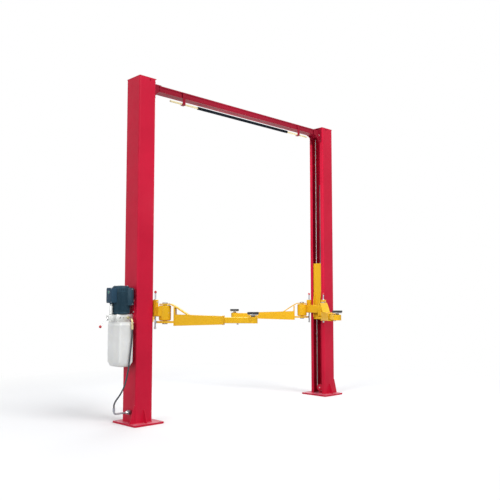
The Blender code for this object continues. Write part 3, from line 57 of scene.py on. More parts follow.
UNIT_SEAT = 1.0352
VALVE_X = -0.329
LEVER_X, LEVER_Z = -0.357, 1.088
ELBOW_Z = 1.078
PORT_X, PORT_Z = -0.1383, 0.126
CAP_Z = 3.5952
PLATE_TOP = 0.019
ROD_X = -0.02
BAR_Y, BAR_Z = -0.044, 3.432

# Finish: the angle past which an edge stays sharp, the step and waves of a weld, the floor's size
SHARP_ANGLE = radians(32.0)
WELD_STEP = 0.0025
WELD_WAVES, WELD_GRAIN = 900.0, 60.0
FLOOR_RADIUS = 60.0

# Camera fitted to the photo
CAMERA_PLACE = (-3.895, -5.658, 1.254)
CAMERA_YAW = 0.772
CAMERA_PITCH = 0.077
CAMERA_LENS = 46.8

# Area lamps: name, place, target, size in metres and power in watts
LAMPS = (("key", (1.5, -19.0, 17.0), (1.2, 0.0, 1.2), 12.0, 3600.0),
         ("side", (-8.0, -1.5, 3.4), (0.5, 0.0, 1.4), 5.0, 270.0),
         ("rim", (6.5, 4.0, 5.0), (1.5, 0.0, 1.8), 4.0, 120.0),
         ("fill", (0.5, -0.55, 2.4), (2.9, 0.0, 1.6), 1.2, 37.0),
         ("under", (1.3, -0.7, 2.2), (1.3, 0.0, 3.5), 1.2, 15.0))
WHITE = (1.0, 1.0, 1.0, 1.0)

# Pressure hose: its route, the points read from it and the rounds of smoothing over them
HOSE_RADIUS = 0.008
HOSE_POINTS, HOSE_ROUNDS = 131, 14
HOSE_TOP = (-0.168, -0.138, 0.96)
HOSE_END = (-0.298, -0.03, 0.1863)
HOSE_KNOTS = [HOSE_TOP, (-0.168, -0.138, 0.945), (-0.168, -0.138, 0.93), (-0.174, -0.138, 0.83),
              (-0.186, -0.138, 0.735), (-0.196, -0.136, 0.635), (-0.204, -0.124, 0.54),
              (-0.212, -0.105, 0.45), (-0.228, -0.085, 0.375), (-0.256, -0.063, 0.308),
              (-0.285, -0.041, 0.258), (-0.298, -0.03, 0.2163), (-0.298, -0.03, 0.2013), HOSE_END]


def placed(name, data):
    thing = bpy.data.objects.new(name, data)
    bpy.context.scene.collection.objects.link(thing)
    return thing


def camera():
    data = bpy.data.cameras.new("photo_camera")
    data.lens = CAMERA_LENS
    data.sensor_width = 36.0
    data.clip_start = 0.05
    data.clip_end = 200.0
    thing = placed("photo_camera", data)
    thing.location = CAMERA_PLACE
    level = cos(CAMERA_PITCH)
    direction = Vector((sin(CAMERA_YAW) * level, cos(CAMERA_YAW) * level, sin(CAMERA_PITCH)))
    thing.rotation_euler = direction.to_track_quat("-Z", "Y").to_euler()
    bpy.context.scene.camera = thing


camera()


class Nodes:
    """The node tree of a material or the world, with short ways to add to it."""

    def __init__(self, owner):
        owner.use_nodes = True
        self.tree = owner.node_tree

    def feed(self, node, inputs):
        """Give each input a plain value or a link from another node's output."""
        for name, value in inputs.items():
            if isinstance(value, bpy.types.NodeSocket):
                self.tree.links.new(value, node.inputs[name])
            else:
                node.inputs[name].default_value = value

    def node(self, kind, inputs=None, **settings):
        """Add a node and return its outputs."""
        made = self.tree.nodes.new("ShaderNode" + kind)
        for name, value in settings.items():
            setattr(made, name, value)
        self.feed(made, inputs or {})
        return made.outputs

    def math(self, operation, first, second):
        return self.node("Math", {0: first, 1: second}, operation=operation)["Value"]

    def background_rays(self):
        """1 for the rays that see the background: from the camera, by a mirror or through glass."""
        rays = self.node("LightPath")
        seen = self.math("MAXIMUM", rays["Is Camera Ray"], rays["Is Glossy Ray"])
        return self.math("MAXIMUM", seen, rays["Is Transmission Ray"])

    def blended(self, factor, first, second, output):
        """Send a blend of two shaders to the output node."""
        blend = self.node("MixShader", {0: factor, 1: first, 2: second})
        self.feed(self.tree.nodes[output], {"Surface": blend[0]})


class Surface(Nodes):
    """A material on one Principled shader, built step by step."""

    def __init__(self, name, roughness, metallic=0.0):
        self.material = bpy.data.materials.new(name)
        super().__init__(self.material)
        self.shader = self.tree.nodes["Principled BSDF"]
        self.set(Roughness=roughness, Metallic=metallic)
        self.place = self.node("TexCoord")["Object"]
        self.height = None

    def set(self, **inputs):
        """Feed the shader's inputs, whose spaces are written as underscores."""
        self.feed(self.shader, {name.replace("_", " "): value for name, value in inputs.items()})

    def noise(self, scale, detail, roughness=0.55, stretch=(1.0, 1.0, 1.0)):
        place = self.node("Mapping", {"Vector": self.place, "Scale": stretch})["Vector"]
        return self.node("TexNoise", {"Vector": place, "Scale": scale, "Detail": detail,
                                      "Roughness": roughness})["Fac"]

    def ramp(self, value, start, end, low=0.0, high=1.0):
        return self.node("MapRange", {"Value": value, "From Min": start, "From Max": end,
                                      "To Min": low, "To Max": high}, clamp=True)["Result"]

    def mix(self, factor, first, second):
        """A blend of two colours, each of them plain or from another node."""
        colours = [(*colour, 1.0) if isinstance(colour, tuple) else colour
                   for colour in (first, second)]
        return self.node("Mix", {0: factor, 6: colours[0], 7: colours[1]}, data_type="RGBA")[2]

    def edges(self, width):
        """A mask that is 1 along sharp edges, from the normal of a rounded edge."""
        softened = self.node("Bevel", {"Radius": width}, samples=6)["Normal"]
        flat = self.node("NewGeometry")["Normal"]
        dot = self.node("VectorMath", {0: softened, 1: flat}, operation="DOT_PRODUCT")["Value"]
        return self.ramp(self.math("SUBTRACT", 1.0, dot), 0.02, 0.25)

    def dust_and_top_light_mask(self):
        """A mask that is 1 on faces that look up, where dust settles and painted top light makes
        the colour paler.
        """
        split = self.node("SeparateXYZ", {0: self.node("NewGeometry")["Normal"]})
        return self.ramp(split["Z"], 0.75, 0.95)

    def bump(self, value, height, strength):
        inputs = {"Height": value, "Strength": strength, "Distance": height}
        if self.height:
            inputs["Normal"] = self.height
        self.height = self.node("Bump", inputs)["Normal"]
        self.set(Normal=self.height)


def painted(name, base, deep, worn, dust, roughness, peel=0.0004):
    """Sprayed enamel with orange peel, cloudy colour, thin edges, a few fine scuffs, and dust with
    painted top light on upward faces.
    """
    surface = Surface(name, roughness)
    cloud = surface.ramp(surface.noise(2.2, 3.0), 0.3, 0.72)
    tone = surface.mix(cloud, deep, base)
    scuff = surface.noise(26.0, 8.0, 0.72, (1.0, 1.0, 0.35))
    marks = surface.ramp(scuff, 0.655, 0.7, 0.0, 0.45)
    flakes = surface.ramp(surface.noise(55.0, 5.0), 0.46, 0.6, 0.1, 0.75)
    chips = surface.math("MULTIPLY", surface.edges(0.0025), flakes)
    tone = surface.mix(surface.math("MAXIMUM", marks, chips), tone, worn)
    # Upward faces turn, in patches, to the paler dust colour: dust and painted top light.
    patches = surface.ramp(surface.noise(11.0, 6.0), 0.3, 0.75, 0.4, 0.9)
    dust_and_top_light = surface.math("MULTIPLY", surface.dust_and_top_light_mask(), patches)
    rough = surface.ramp(surface.noise(7.0, 5.0), 0.3, 0.7, roughness - 0.07, roughness + 0.1)
    surface.set(Base_Color=surface.mix(dust_and_top_light, tone, dust),
                Roughness=surface.math("ADD", rough, surface.math("MULTIPLY", marks, 0.4)),
                Specular_IOR_Level=0.12, Coat_Weight=0.03, Coat_Roughness=0.16)
    surface.bump(surface.noise(420.0, 2.0), peel, 0.35)
    surface.bump(surface.noise(14.0, 2.0), peel * 3.0, 0.18)
    return surface.material


def brushed(name, light, dark, roughness, grain, stretch=(1.0, 1.0, 1.0)):
    """Bright metal with a fine grain, drawn into lines by a stretch, and slight tarnish."""
    surface = Surface(name, roughness, 1.0)
    lines = surface.noise(grain, 3.0, 0.6, stretch)
    cloud = surface.ramp(surface.noise(18.0, 5.0), 0.35, 0.68)
    surface.set(Base_Color=surface.mix(cloud, dark, light),
                Roughness=surface.ramp(lines, 0.3, 0.7, roughness - 0.06, roughness + 0.12))
    surface.bump(lines, 0.00015, 0.3)
    return surface.material


def moulded(name, base, deep, roughness, grain=260.0, depth=0.0006, **inputs):
    """Moulded plastic or rubber with a fine leathery grain and patches of dust."""
    surface = Surface(name, roughness)
    dust = surface.ramp(surface.noise(9.0, 6.0, 0.65), 0.42, 0.75)
    rough = surface.ramp(surface.noise(30.0, 4.0), 0.3, 0.7, roughness - 0.08,
                         min(1.0, roughness + 0.12))
    surface.set(Base_Color=surface.mix(dust, deep, base), Roughness=rough, **inputs)
    surface.bump(surface.noise(grain, 3.0, 0.5), depth, 0.5)
    return surface.material


# The dust colour of each enamel also serves as painted top light on its upward faces.
RED = painted("red_enamel", (0.56, 0.008, 0.038), (0.48, 0.005, 0.03), (0.6, 0.08, 0.12),
              (0.7, 0.2, 0.27), 0.36)
# A darker copy of the red enamel: painted shade on the crossbeam, its bracket and hanger, the top
# sheaves and the bolts and welds up there.
SHADED_RED = painted("shaded_red_enamel", (0.31, 0.005, 0.024), (0.25, 0.004, 0.019), (0.42, 0.05, 0.08),
                   (0.48, 0.11, 0.15), 0.38, 0.0002)
YELLOW = painted("yellow_enamel", (0.75, 0.424, 0.015), (0.665, 0.357, 0.01), (0.8, 0.56, 0.13),
                 (0.68, 0.44, 0.08), 0.4)
CREAM = painted("cream_enamel", (0.78, 0.69, 0.42), (0.7, 0.6, 0.33), (0.82, 0.78, 0.62),
                (0.74, 0.7, 0.52), 0.42)
BLUE = painted("motor_enamel", (0.022, 0.058, 0.086), (0.015, 0.043, 0.066), (0.1, 0.15, 0.18),
               (0.1, 0.13, 0.15), 0.4)
GREY = painted("cylinder_enamel", (0.15, 0.152, 0.16), (0.11, 0.112, 0.12), (0.32, 0.32, 0.33),
               (0.26, 0.26, 0.26), 0.38)
CHROME = brushed("chrome_rod", (0.8, 0.81, 0.83), (0.68, 0.69, 0.72), 0.14, 900.0,
                 (60.0, 60.0, 1.0))
ZINC = brushed("zinc_plate", (0.66, 0.66, 0.64), (0.5, 0.5, 0.5), 0.34, 300.0)
STEEL = brushed("dark_steel", (0.36, 0.37, 0.4), (0.23, 0.24, 0.27), 0.42, 240.0)
ALLOY = brushed("cast_alloy", (0.69, 0.7, 0.69), (0.57, 0.58, 0.57), 0.42, 420.0)
BRASS = brushed("brass", (0.66, 0.57, 0.33), (0.53, 0.45, 0.24), 0.32, 320.0)
ROPE = brushed("wire_rope", (0.46, 0.46, 0.45), (0.3, 0.29, 0.27), 0.46, 700.0)
FOAM = moulded("foam", (0.008, 0.011, 0.016), (0.004, 0.006, 0.01), 0.95, 520.0, 0.001,
               Specular_IOR_Level=0.1)
RUBBER = moulded("rubber", (0.042, 0.042, 0.043), (0.02, 0.02, 0.021), 0.78, 340.0, 0.0006)
HOSE = moulded("hose_rubber", (0.05, 0.056, 0.064), (0.026, 0.03, 0.036), 0.55, 600.0, 0.0004)
SWITCH = moulded("switch_plastic", (0.013, 0.052, 0.094), (0.009, 0.039, 0.072), 0.5,
                 Specular_IOR_Level=0.25)
GREEN = moulded("button_plastic", (0.03, 0.23, 0.17), (0.02, 0.18, 0.13), 0.34, 120.0, 0.0002)
KNOB = moulded("knob_plastic", (0.56, 0.02, 0.028), (0.44, 0.012, 0.018), 0.28, 120.0, 0.0002)
TANK = moulded("tank_plastic", (0.785, 0.792, 0.782), (0.725, 0.728, 0.712), 0.42, 200.0, 0.0005,
               Subsurface_Weight=0.12, Subsurface_Radius=(0.02, 0.018, 0.012))

NODE_LOOKS = {
    RED: "base_plate post post_cap power_unit_bracket",
    # The beam, its bracket and the bar's hanger take the darker red: painted shade.
    SHADED_RED: "beam_bracket bar_hanger crossbeam",
    YELLOW: "carriage arm arm_extension", CREAM: "shutoff_bar", BLUE: "motor", GREY: "cylinder",
    CHROME: "lifting_rod", ZINC: "hose_connector", STEEL: "top_sheaves bottom_sheave",
    ALLOY: "pump_block", BRASS: "pressure_fitting", ROPE: "equalizing_cable", FOAM: "foam_sleeve",
    RUBBER: "arm_pad", HOSE: "pressure_hose", SWITCH: "switch_box", KNOB: "arm_lock lowering_lever",
    TANK: "reservoir",
}
KIND_LOOKS = {kind: look for look, kinds in NODE_LOOKS.items() for kind in kinds.split()}
for node_name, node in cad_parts.items():
    kind = max((kind for kind in KIND_LOOKS if node_name.endswith(kind)), key=len)
    node.data.materials.clear()
    node.data.materials.append(KIND_LOOKS[kind])


def moved(x=0.0, y=0.0, z=0.0, turn="Z", angle=0.0):
    return Matrix.Translation((x, y, z)) @ Matrix.Rotation(angle, 4, turn)


def facing(place, axis):
    """A frame at a place whose z looks along the axis."""
    return Matrix.Translation(place) @ Vector(axis).to_track_quat("Z", "Y").to_matrix().to_4x4()


def corner_matrix(corner):
    side, local = CORNERS[corner]
    return side @ moved(PIVOT_X, local * PIVOT_Y, angle=local * ARM_ANGLE)


class Form:
    """A piece built up from several shapes, each with its own material."""

    def __init__(self, name):
        self.name = name
        self.mesh = bmesh.new()
        self.looks = []

    def take(self, shape, look, matrix=HERE):
        if look not in self.looks:
            self.looks.append(look)
        for face in shape.faces:
            face.material_index = self.looks.index(look)
        shape.transform(matrix)
        copy = bpy.data.meshes.new("copy")
        shape.to_mesh(copy)
        shape.free()
        self.mesh.from_mesh(copy)
        bpy.data.meshes.remove(copy)

    def box(self, x, y, z, look, bevel, matrix=HERE, segments=2):
        shape = bmesh.new()
        bmesh.ops.create_cube(shape, size=1.0)
        bmesh.ops.scale(shape, vec=(x[1] - x[0], y[1] - y[0], z[1] - z[0]), verts=shape.verts)
        bmesh.ops.bevel(shape, geom=shape.edges[:], offset=bevel, segments=segments, profile=0.5,
                        affect="EDGES")
        bmesh.ops.translate(shape, vec=((x[0] + x[1]) / 2, (y[0] + y[1]) / 2, (z[0] + z[1]) / 2),
                            verts=shape.verts)
        self.take(shape, look, matrix)

    def rings(self, rings, look, matrix=HERE, closed=False):
        """Skin between rings of points; a ring of one point is a tip."""
        shape = bmesh.new()
        rows = [[shape.verts.new(point) for point in ring] for ring in rings]
        if closed:
            rows.append(rows[0])
        for first, second in zip(rows, rows[1:]):
            count = max(len(first), len(second))
            for i in range(count):
                j = (i + 1) % count
                corners = [first[i % len(first)], first[j % len(first)],
                           second[j % len(second)], second[i % len(second)]]
                unique = list(dict.fromkeys(corners))
                if len(unique) > 2:
                    shape.faces.new(unique)
        if not closed:
            for row in (rows[0], rows[-1]):
                if len(row) > 2:
                    shape.faces.new(row)
        bmesh.ops.recalc_face_normals(shape, faces=shape.faces)
        self.take(shape, look, matrix)

    def turned(self, profile, look, matrix=HERE, steps=48, closed=False):
        """A profile of radius and height turned round z; six steps make a hexagon."""
        rings = []
        for radius, height in profile:
            if radius <= 0.0:
                rings.append([(0.0, 0.0, height)])
            else:
                turns = [2 * pi * (i + 0.5) / steps for i in range(steps)]
                rings.append([(radius * cos(turn), radius * sin(turn), height) for turn in turns])
        self.rings(rings, look, matrix, closed)

    def solid(self, profile, look, matrix=HERE, steps=48):
        """A turned profile closed by flat ends."""
        self.turned([(0.0, profile[0][1]), *profile, (0.0, profile[-1][1])], look, matrix, steps)

    def plate(self, outline, start, end, look, bevel, matrix=HERE):
        """A flat outline pushed out along z, with rounded rims."""
        shape = bmesh.new()
        face = shape.faces.new([shape.verts.new((x, y, start)) for x, y in outline])
        lifted = bmesh.ops.extrude_face_region(shape, geom=[face])
        raised = [item for item in lifted["geom"] if isinstance(item, bmesh.types.BMVert)]
        bmesh.ops.translate(shape, vec=(0, 0, end - start), verts=raised)
        if bevel:
            rims = [edge for edge in shape.edges
                    if abs(edge.verts[0].co.z - edge.verts[1].co.z) < 1e-6]
            bmesh.ops.bevel(shape, geom=rims, offset=bevel, segments=2, profile=0.5, affect="EDGES")
        bmesh.ops.recalc_face_normals(shape, faces=shape.faces)
        self.take(shape, look, matrix)

    def tube(self, points, radius, look, matrix=HERE, steps=16, lobes=0, lay=0.07, ripple=0.0,
             cyclic=False):
        """A round rod along points; lobes twist round it like strands, ripple like weld beads."""
        places = [Vector(point) for point in points]
        count = len(places)
        side = None
        travelled = 0.0
        rings = []
        for i, place in enumerate(places):
            before = places[i - 1] if i or cyclic else place
            after = places[(i + 1) % count] if i < count - 1 or cyclic else place
            along = (after - before).normalized()
            if side is None:
                side = along.orthogonal().normalized()
            side = (side - along * side.dot(along)).normalized()
            across = along.cross(side)
            if i:
                travelled += (place - places[i - 1]).length
            ring = []
            for k in range(steps):
                angle = 2 * pi * k / steps
                size = radius
                if lobes:
                    size *= 0.9 + 0.1 * abs(cos(lobes * (angle - 2 * pi * travelled / lay) / 2))
                if ripple:
                    grain = noise.noise(place * WELD_GRAIN)
                    size *= 1.0 + ripple * (sin(travelled * WELD_WAVES) + grain)
                ring.append(place + side * size * cos(angle) + across * size * sin(angle))
            rings.append(ring)
        self.rings(rings, look, matrix, cyclic)

    def bolt(self, place, axis, size, look, washer=True, length=0.0):
        """Hex head on a washer, with an optional stud end; size is the thread's diameter."""
        matrix = facing(place, axis)
        foot = 0.0
        if washer:
            foot = size * 0.18
            self.solid([(size * 1.08, 0.0), (size * 1.12, foot * 0.3), (size * 1.08, foot)], look,
                       matrix, 32)
        head = size * 0.66
        top, edge = foot + head, foot + head * 0.86
        self.solid([(size * 0.9, foot), (size * 0.9, edge), (size * 0.78, top)], look, matrix, 6)
        if length:
            end = top + length
            self.solid([(size * 0.5, top), (size * 0.5, end - size * 0.1), (size * 0.4, end)], look,
                       matrix, 20)

    def show(self, body, node=None, matrix=HERE):
        """Turn the piece into an object that rides on the body and may replace a solid."""
        mesh = bpy.data.meshes.new(self.name)
        self.mesh.to_mesh(mesh)
        self.mesh.free()
        for look in self.looks:
            mesh.materials.append(look)
        mesh.shade_smooth()
        mesh.set_sharp_from_angle(angle=SHARP_ANGLE)
        mesh.transform(matrix)
        thing = placed(self.name, mesh)
        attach(thing, body)
        if node:
            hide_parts(node)


def bead(inner, outer, start, slope, length):
    """The profile of a raised ring."""
    end = start + length
    return [(inner, start), (outer, start + slope), (outer, end - slope), (inner, end)]


def ball(centre, reach, neck):
    """The profile of a ball grip on a neck; reach is the round part's share of a half turn."""
    size, foot = 0.014, centre - 0.015
    side = [(size * sin(a), centre + size * cos(a)) for a in arc(pi / 18, reach * pi, 18)]
    return [(0.0, centre + size), *side, (neck, foot), (0.0, foot)]


def mirrored(half):
    """A profile followed by its mirror image; the last point lies on the mirror."""
    return half + [(radius, -height) for radius, height in reversed(half[:-1])]


def arc(start, end, steps):
    return [start + (end - start) * i / steps for i in range(steps + 1)]


def rounded(x, y, radius, steps=6):
    """The outline of a rectangle with round corners."""
    outline = []
    low_x, high_x, low_y, high_y = x[0] + radius, x[1] - radius, y[0] + radius, y[1] - radius
    middles = ((high_x, high_y), (low_x, high_y), (low_x, low_y), (high_x, low_y))
    for i, middle in enumerate(middles):
        for angle in arc(i * pi / 2, (i + 1) * pi / 2, steps):
            outline.append((middle[0] + radius * cos(angle), middle[1] + radius * sin(angle)))
    return outline


def smooth_path(knots, count):
    """Points read evenly from a smooth curve through the knots, as the solid hose has them."""
    padded = [knots[0], *knots, knots[-1]]
    spans = len(knots) - 1
    path = []
    for i in range(count):
        place = i * spans / (count - 1)
        span = min(int(place), spans - 1)
        t = place - span
        path.append(tuple(
            0.5 * (2 * b + (c - a) * t + (2 * a - 5 * b + 4 * c - d) * t ** 2
                   + (3 * b - a - 3 * c + d) * t ** 3)
            for a, b, c, d in zip(*padded[span:span + 4])))
    return path


def pressure_hose():
    """Rubber hose from the brass nut down to the ferrule at the post's foot."""
    path = [Vector(place) for place in smooth_path(HOSE_KNOTS, HOSE_POINTS)]
    for _ in range(HOSE_ROUNDS):
        path[4:-4] = [(a + b + b + c) / 4 for a, b, c in zip(path[3:-5], path[4:-4], path[5:-3])]
    curve = bpy.data.curves.new("pressure_line", "CURVE")
    curve.dimensions = "3D"
    curve.bevel_depth = HOSE_RADIUS
    curve.bevel_resolution = 8
    curve.use_fill_caps = True
    spline = curve.splines.new("POLY")
    spline.points.add(len(path) - 1)
    for point, place in zip(spline.points, path):
        point.co = (*place, 1.0)
    spline.use_smooth = True
    curve.materials.append(HOSE)
    thing = placed("pressure_line", curve)
    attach(thing, "frame")
    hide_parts("pressure_hose")


pressure_hose()

UNIT = moved(UNIT_X)


def motor():
    """Finned barrel with end bell, foot flange, tie bolts and the capacitor's cover."""
    form = Form("motor_finished")
    fins = 48
    outline = []
    for i in range(fins):
        for share, radius in ((-0.34, 0.084), (-0.2, 0.0885), (-0.12, 0.0896), (0.12, 0.0896),
                              (0.2, 0.0885), (0.34, 0.084)):
            angle = (i + share) * 2 * pi / fins
            outline.append((radius * cos(angle), radius * sin(angle)))
    form.plate(outline, 1.14, 1.331, BLUE, 0.0, UNIT)
    bell = [(0.0, 1.402), (0.03, 1.4018), (0.034, 1.4)]
    bell += [(0.062 + 0.0256 * sin(a), 1.3744 + 0.0246 * cos(a)) for a in arc(0.0, pi / 2, 10)]
    bell += [(0.0878, 1.345), (0.087, 1.3438), (0.087, 1.3418), (0.0878, 1.3406), (0.0878, 1.337),
             (0.086, 1.3352), (0.0838, 1.335), (0.0838, 1.136), (0.086, 1.1348), (0.0878, 1.133),
             (0.0878, 1.1205), (0.0866, 1.118), (0.07, 1.1106), (0.0, 1.1106)]
    form.turned(bell, BLUE, UNIT, 96)
    bolts, rods, lean = 0.066, 0.0885, 0.25
    for i in range(4):
        angle = pi / 4 + i * pi / 2
        out_x, out_y = cos(angle), sin(angle)
        form.bolt((UNIT_X + bolts * out_x, bolts * out_y, 1.3965),
                  (lean * out_x, lean * out_y, 1.0), 0.006, ZINC)
        form.tube([(rods * out_x, rods * out_y, z) for z in (1.118, 1.2, 1.28, 1.345)], 0.0028,
                  BLUE, UNIT, 12)
    # Near-black blocks on the end bell stand for its vent slots: painted shade in place of
    # openings.
    vents = 24
    for i in range(vents):
        vent = moved(UNIT_X, angle=i * 2 * pi / vents) @ moved(0.0866, 0, 1.3585)
        form.box((-0.0012, 0.0016), (-0.0035, 0.0035), (-0.0085, 0.0085), FOAM, 0.0008, vent, 1)
    cover = moved(UNIT_X, angle=radians(36.0))
    form.plate(rounded((-0.032, 0.032), (-0.128, -0.072), 0.012), 1.2005, 1.3775, BLUE, 0.004,
               cover)
    form.plate(rounded((-0.0325, 0.0325), (-0.0925, -0.0885), 0.0015), 1.1985, 1.3795, BLUE, 0.001,
               cover)
    outward = cover.to_3x3() @ Vector((0, -1, 0))
    for x in (-0.022, 0.022):
        for z in (1.214, 1.364):
            form.bolt(cover @ Vector((x, -0.1278, z)), outward, 0.004, ZINC, False)
    form.show("frame", "motor")


def switch_box():
    """Moulded switch box with a lid, screws, a round push button and a cable gland."""
    form = Form("switch_box_finished")
    lid = moved(turn="Y", angle=-pi / 2)
    middle = 1.3015
    for x, y, radius, start, end, rim in ((0.0763, 0.0498, 0.01, 0.319, 0.357, 0.003),
                                          (0.0747, 0.0482, 0.009, 0.2955, 0.32, 0.001),
                                          (0.0695, 0.043, 0.007, 0.3562, 0.3582, 0.0008)):
        outline = rounded((middle - x, middle + x), (-y, y), radius)
        form.plate(outline, start, end, SWITCH, rim, lid)
    for y in (-0.041, 0.041):
        for z in (1.234, 1.369):
            form.solid([(0.003, 0.3588), (0.0036, 0.3582), (0.0036, 0.356)], ZINC,
                       moved(0, y, z) @ lid, 20)
    button = moved(0, 0, 1.333) @ lid
    form.turned([(0.0175, 0.3575), (0.0175, 0.3612), (0.0165, 0.3622), (0.0148, 0.3622),
                 (0.0142, 0.3612), (0.0142, 0.3575)], STEEL, button, 40, True)
    form.turned([(0.0, 0.365), (0.009, 0.3648), (0.0122, 0.3638), (0.0132, 0.362),
                 (0.0132, 0.357), (0.0, 0.357)], GREEN, button, 40)
    gland = moved(-0.336, 0.0, 1.2262)
    form.solid([(0.012, 0.0), (0.012, -0.004)], SWITCH, gland, 6)
    form.solid([(0.0105, -0.0035), (0.0105, -0.012), (0.0085, -0.0165)], SWITCH, gland, 24)
    form.tube([(-0.336, 0.0, 1.212), (-0.336, 0.0, 1.2), (-0.333, 0.001, 1.189),
               (-0.324, 0.004, 1.18), (-0.312, 0.008, 1.1752), (-0.3, 0.012, 1.1742),
               (-0.294, 0.014, 1.1742)], 0.0045, RUBBER)
    form.show("frame", "switch_box")


def reservoir():
    """Blow moulded tank with a lid, steel plate, mould seam, filler cap and drain plug."""
    form = Form("tank_finished")
    half_x, half_y = 0.082, 0.118
    rings = []
    for height, inset, radius in (
            (0.59, 0.036, 0.034), (0.5906, 0.026, 0.034), (0.5935, 0.0185, 0.033),
            (0.6, 0.013, 0.032), (0.612, 0.0095, 0.03), (0.635, 0.0, 0.026),
            (0.8, 0.0, 0.022), (0.9985, 0.0, 0.022), (1.0005, -0.0006, 0.022),
            (1.006, -0.0006, 0.022), (1.008, 0.0006, 0.022), (1.02, 0.002, 0.022),
            (1.027, 0.0065, 0.022), (1.03, 0.014, 0.022)):
        x, y = half_x - inset, half_y - inset
        rings.append([(*place, height) for place in rounded((-x, x), (-y, y), radius, 8)])
    form.rings(rings, TANK, UNIT)
    form.plate(rounded((-0.078, 0.078), (-0.114, 0.114), 0.02, 8), 1.0255, UNIT_SEAT, TANK, 0.0015,
               UNIT)
    form.plate(rounded((-0.079, 0.079), (-0.0635, 0.0635), 0.006), 1.035, 1.0447, ZINC, 0.001, UNIT)
    for x in (-0.068, 0.068):
        for y in (-0.052, 0.052):
            form.bolt((x + UNIT_X, y * 1.9, UNIT_SEAT), (0, 0, 1), 0.006, ZINC)
    for side in (-1, 1):
        seam = [(side * x, 0.0, z)
                for x, z in ((0.0822, 1.0), (0.0822, 0.8), (0.0822, 0.64), (0.0735, 0.608))]
        form.tube(seam, 0.0009, TANK, UNIT, 8)
    filler = moved(UNIT_X, 0.086, 1.035)
    form.solid([(0.0125, 0.015), (0.0145, 0.013), (0.0145, 0.002), (0.012, 0.0)], RUBBER,
               filler, 28)
    grips = 14
    for i in range(grips):
        grip = filler @ moved(angle=i * 2 * pi / grips)
        form.box((0.0138, 0.0156), (-0.0012, 0.0012), (0.0025, 0.0125), RUBBER, 0.0004, grip, 1)
    form.solid([(0.013, -0.0004), (0.013, 0.004)], TANK, moved(UNIT_X, 0.0, 0.5905), 28)
    form.show("frame", "reservoir")


def pump_block():
    """Machined manifold with plugs, the lowering valve and the ears of the lever."""
    form = Form("manifold_finished")
    form.box((-0.299, -0.1086), (-0.06, 0.06), (1.045, 1.11), ALLOY, 0.0025)
    for side in (-1, 1):
        form.box((-0.37, -0.29), sorted((side * 0.013, side * 0.0255)), (1.049, 1.1055), ALLOY,
                 0.0015)
    form.box((-0.349, -0.296), (-0.0135, 0.0135), (1.0492, 1.1058), ALLOY, 0.0012)
    valve = moved(VALVE_X)
    form.solid([(0.0165, 1.118), (0.0165, 1.106)], ZINC, valve, 6)
    form.solid([(0.008, 1.22), (0.0098, 1.2185), (0.0102, 1.216), (0.0102, 1.201), (0.015, 1.1985),
                (0.0168, 1.196), (0.0168, 1.1262), (0.016, 1.125), (0.012, 1.124), (0.012, 1.1175)],
               ALLOY, valve)
    for z in (1.142, 1.148, 1.154, 1.18, 1.186):
        form.turned(bead(0.0164, 0.0172, z, 0.0008, 0.0028), ALLOY, valve, closed=True)
    for side in (-1, 1):
        for x, z, size in ((-0.262, 1.0775, 0.011), (-0.225, 1.0775, 0.0085),
                           (-0.125, 1.062, 0.006)):
            if side < 0 or x < -0.13:
                place = moved(x, side * 0.0598, z, "X", -side * pi / 2)
                form.turned([(size, 0.0), (size, 0.0016), (size - 0.001, 0.0026),
                             (size * 0.55, 0.0026)], ZINC, place, 32)
                form.turned([(0.0, 0.0006), (size * 0.56, 0.0006), (size * 0.56, 0.0026)], STEEL,
                            place, 6)
    for x in (-0.12, -0.288):
        for side in (-1, 1):
            form.bolt((x, side * 0.05, 1.1098), (0, 0, 1), 0.006, ZINC)
    form.tube([(LEVER_X, y, LEVER_Z) for y in (-0.0262, -0.02, 0.02, 0.0262)], 0.0036, STEEL,
              steps=20)
    form.show("frame", "pump_block")


def lowering_lever():
    """Hub, bar, nut and red ball of the lever, built round its pivot."""
    form = Form("lever_finished")
    drop = radians(46.0)
    along = Vector((-cos(drop), 0.0, -sin(drop)))
    form.solid([(0.0108, -0.0118), (0.0118, -0.0108), (0.0118, 0.0108), (0.0108, 0.0118)], ZINC,
               moved(turn="X", angle=pi / 2), 40)
    form.tube([along * r for r in (0.004, 0.03, 0.06, 0.095, 0.125)], 0.0056, CHROME, steps=24)
    form.tube([along * r for r in (0.0112, 0.015, 0.023, 0.025)], 0.008, ZINC, steps=6)
    form.turned(ball(0.0, 0.88, 0.0062), KNOB, facing(along * 0.134, along), 40)
    form.show("lever", "lowering_lever", moved(LEVER_X, 0.0, LEVER_Z))


def quarter(radius, steps):
    """Offsets from a bend's corner, from its first leg round to its second."""
    return [(radius * (1 - sin(a)), radius * (1 - cos(a))) for a in arc(0.0, pi / 2, steps)]


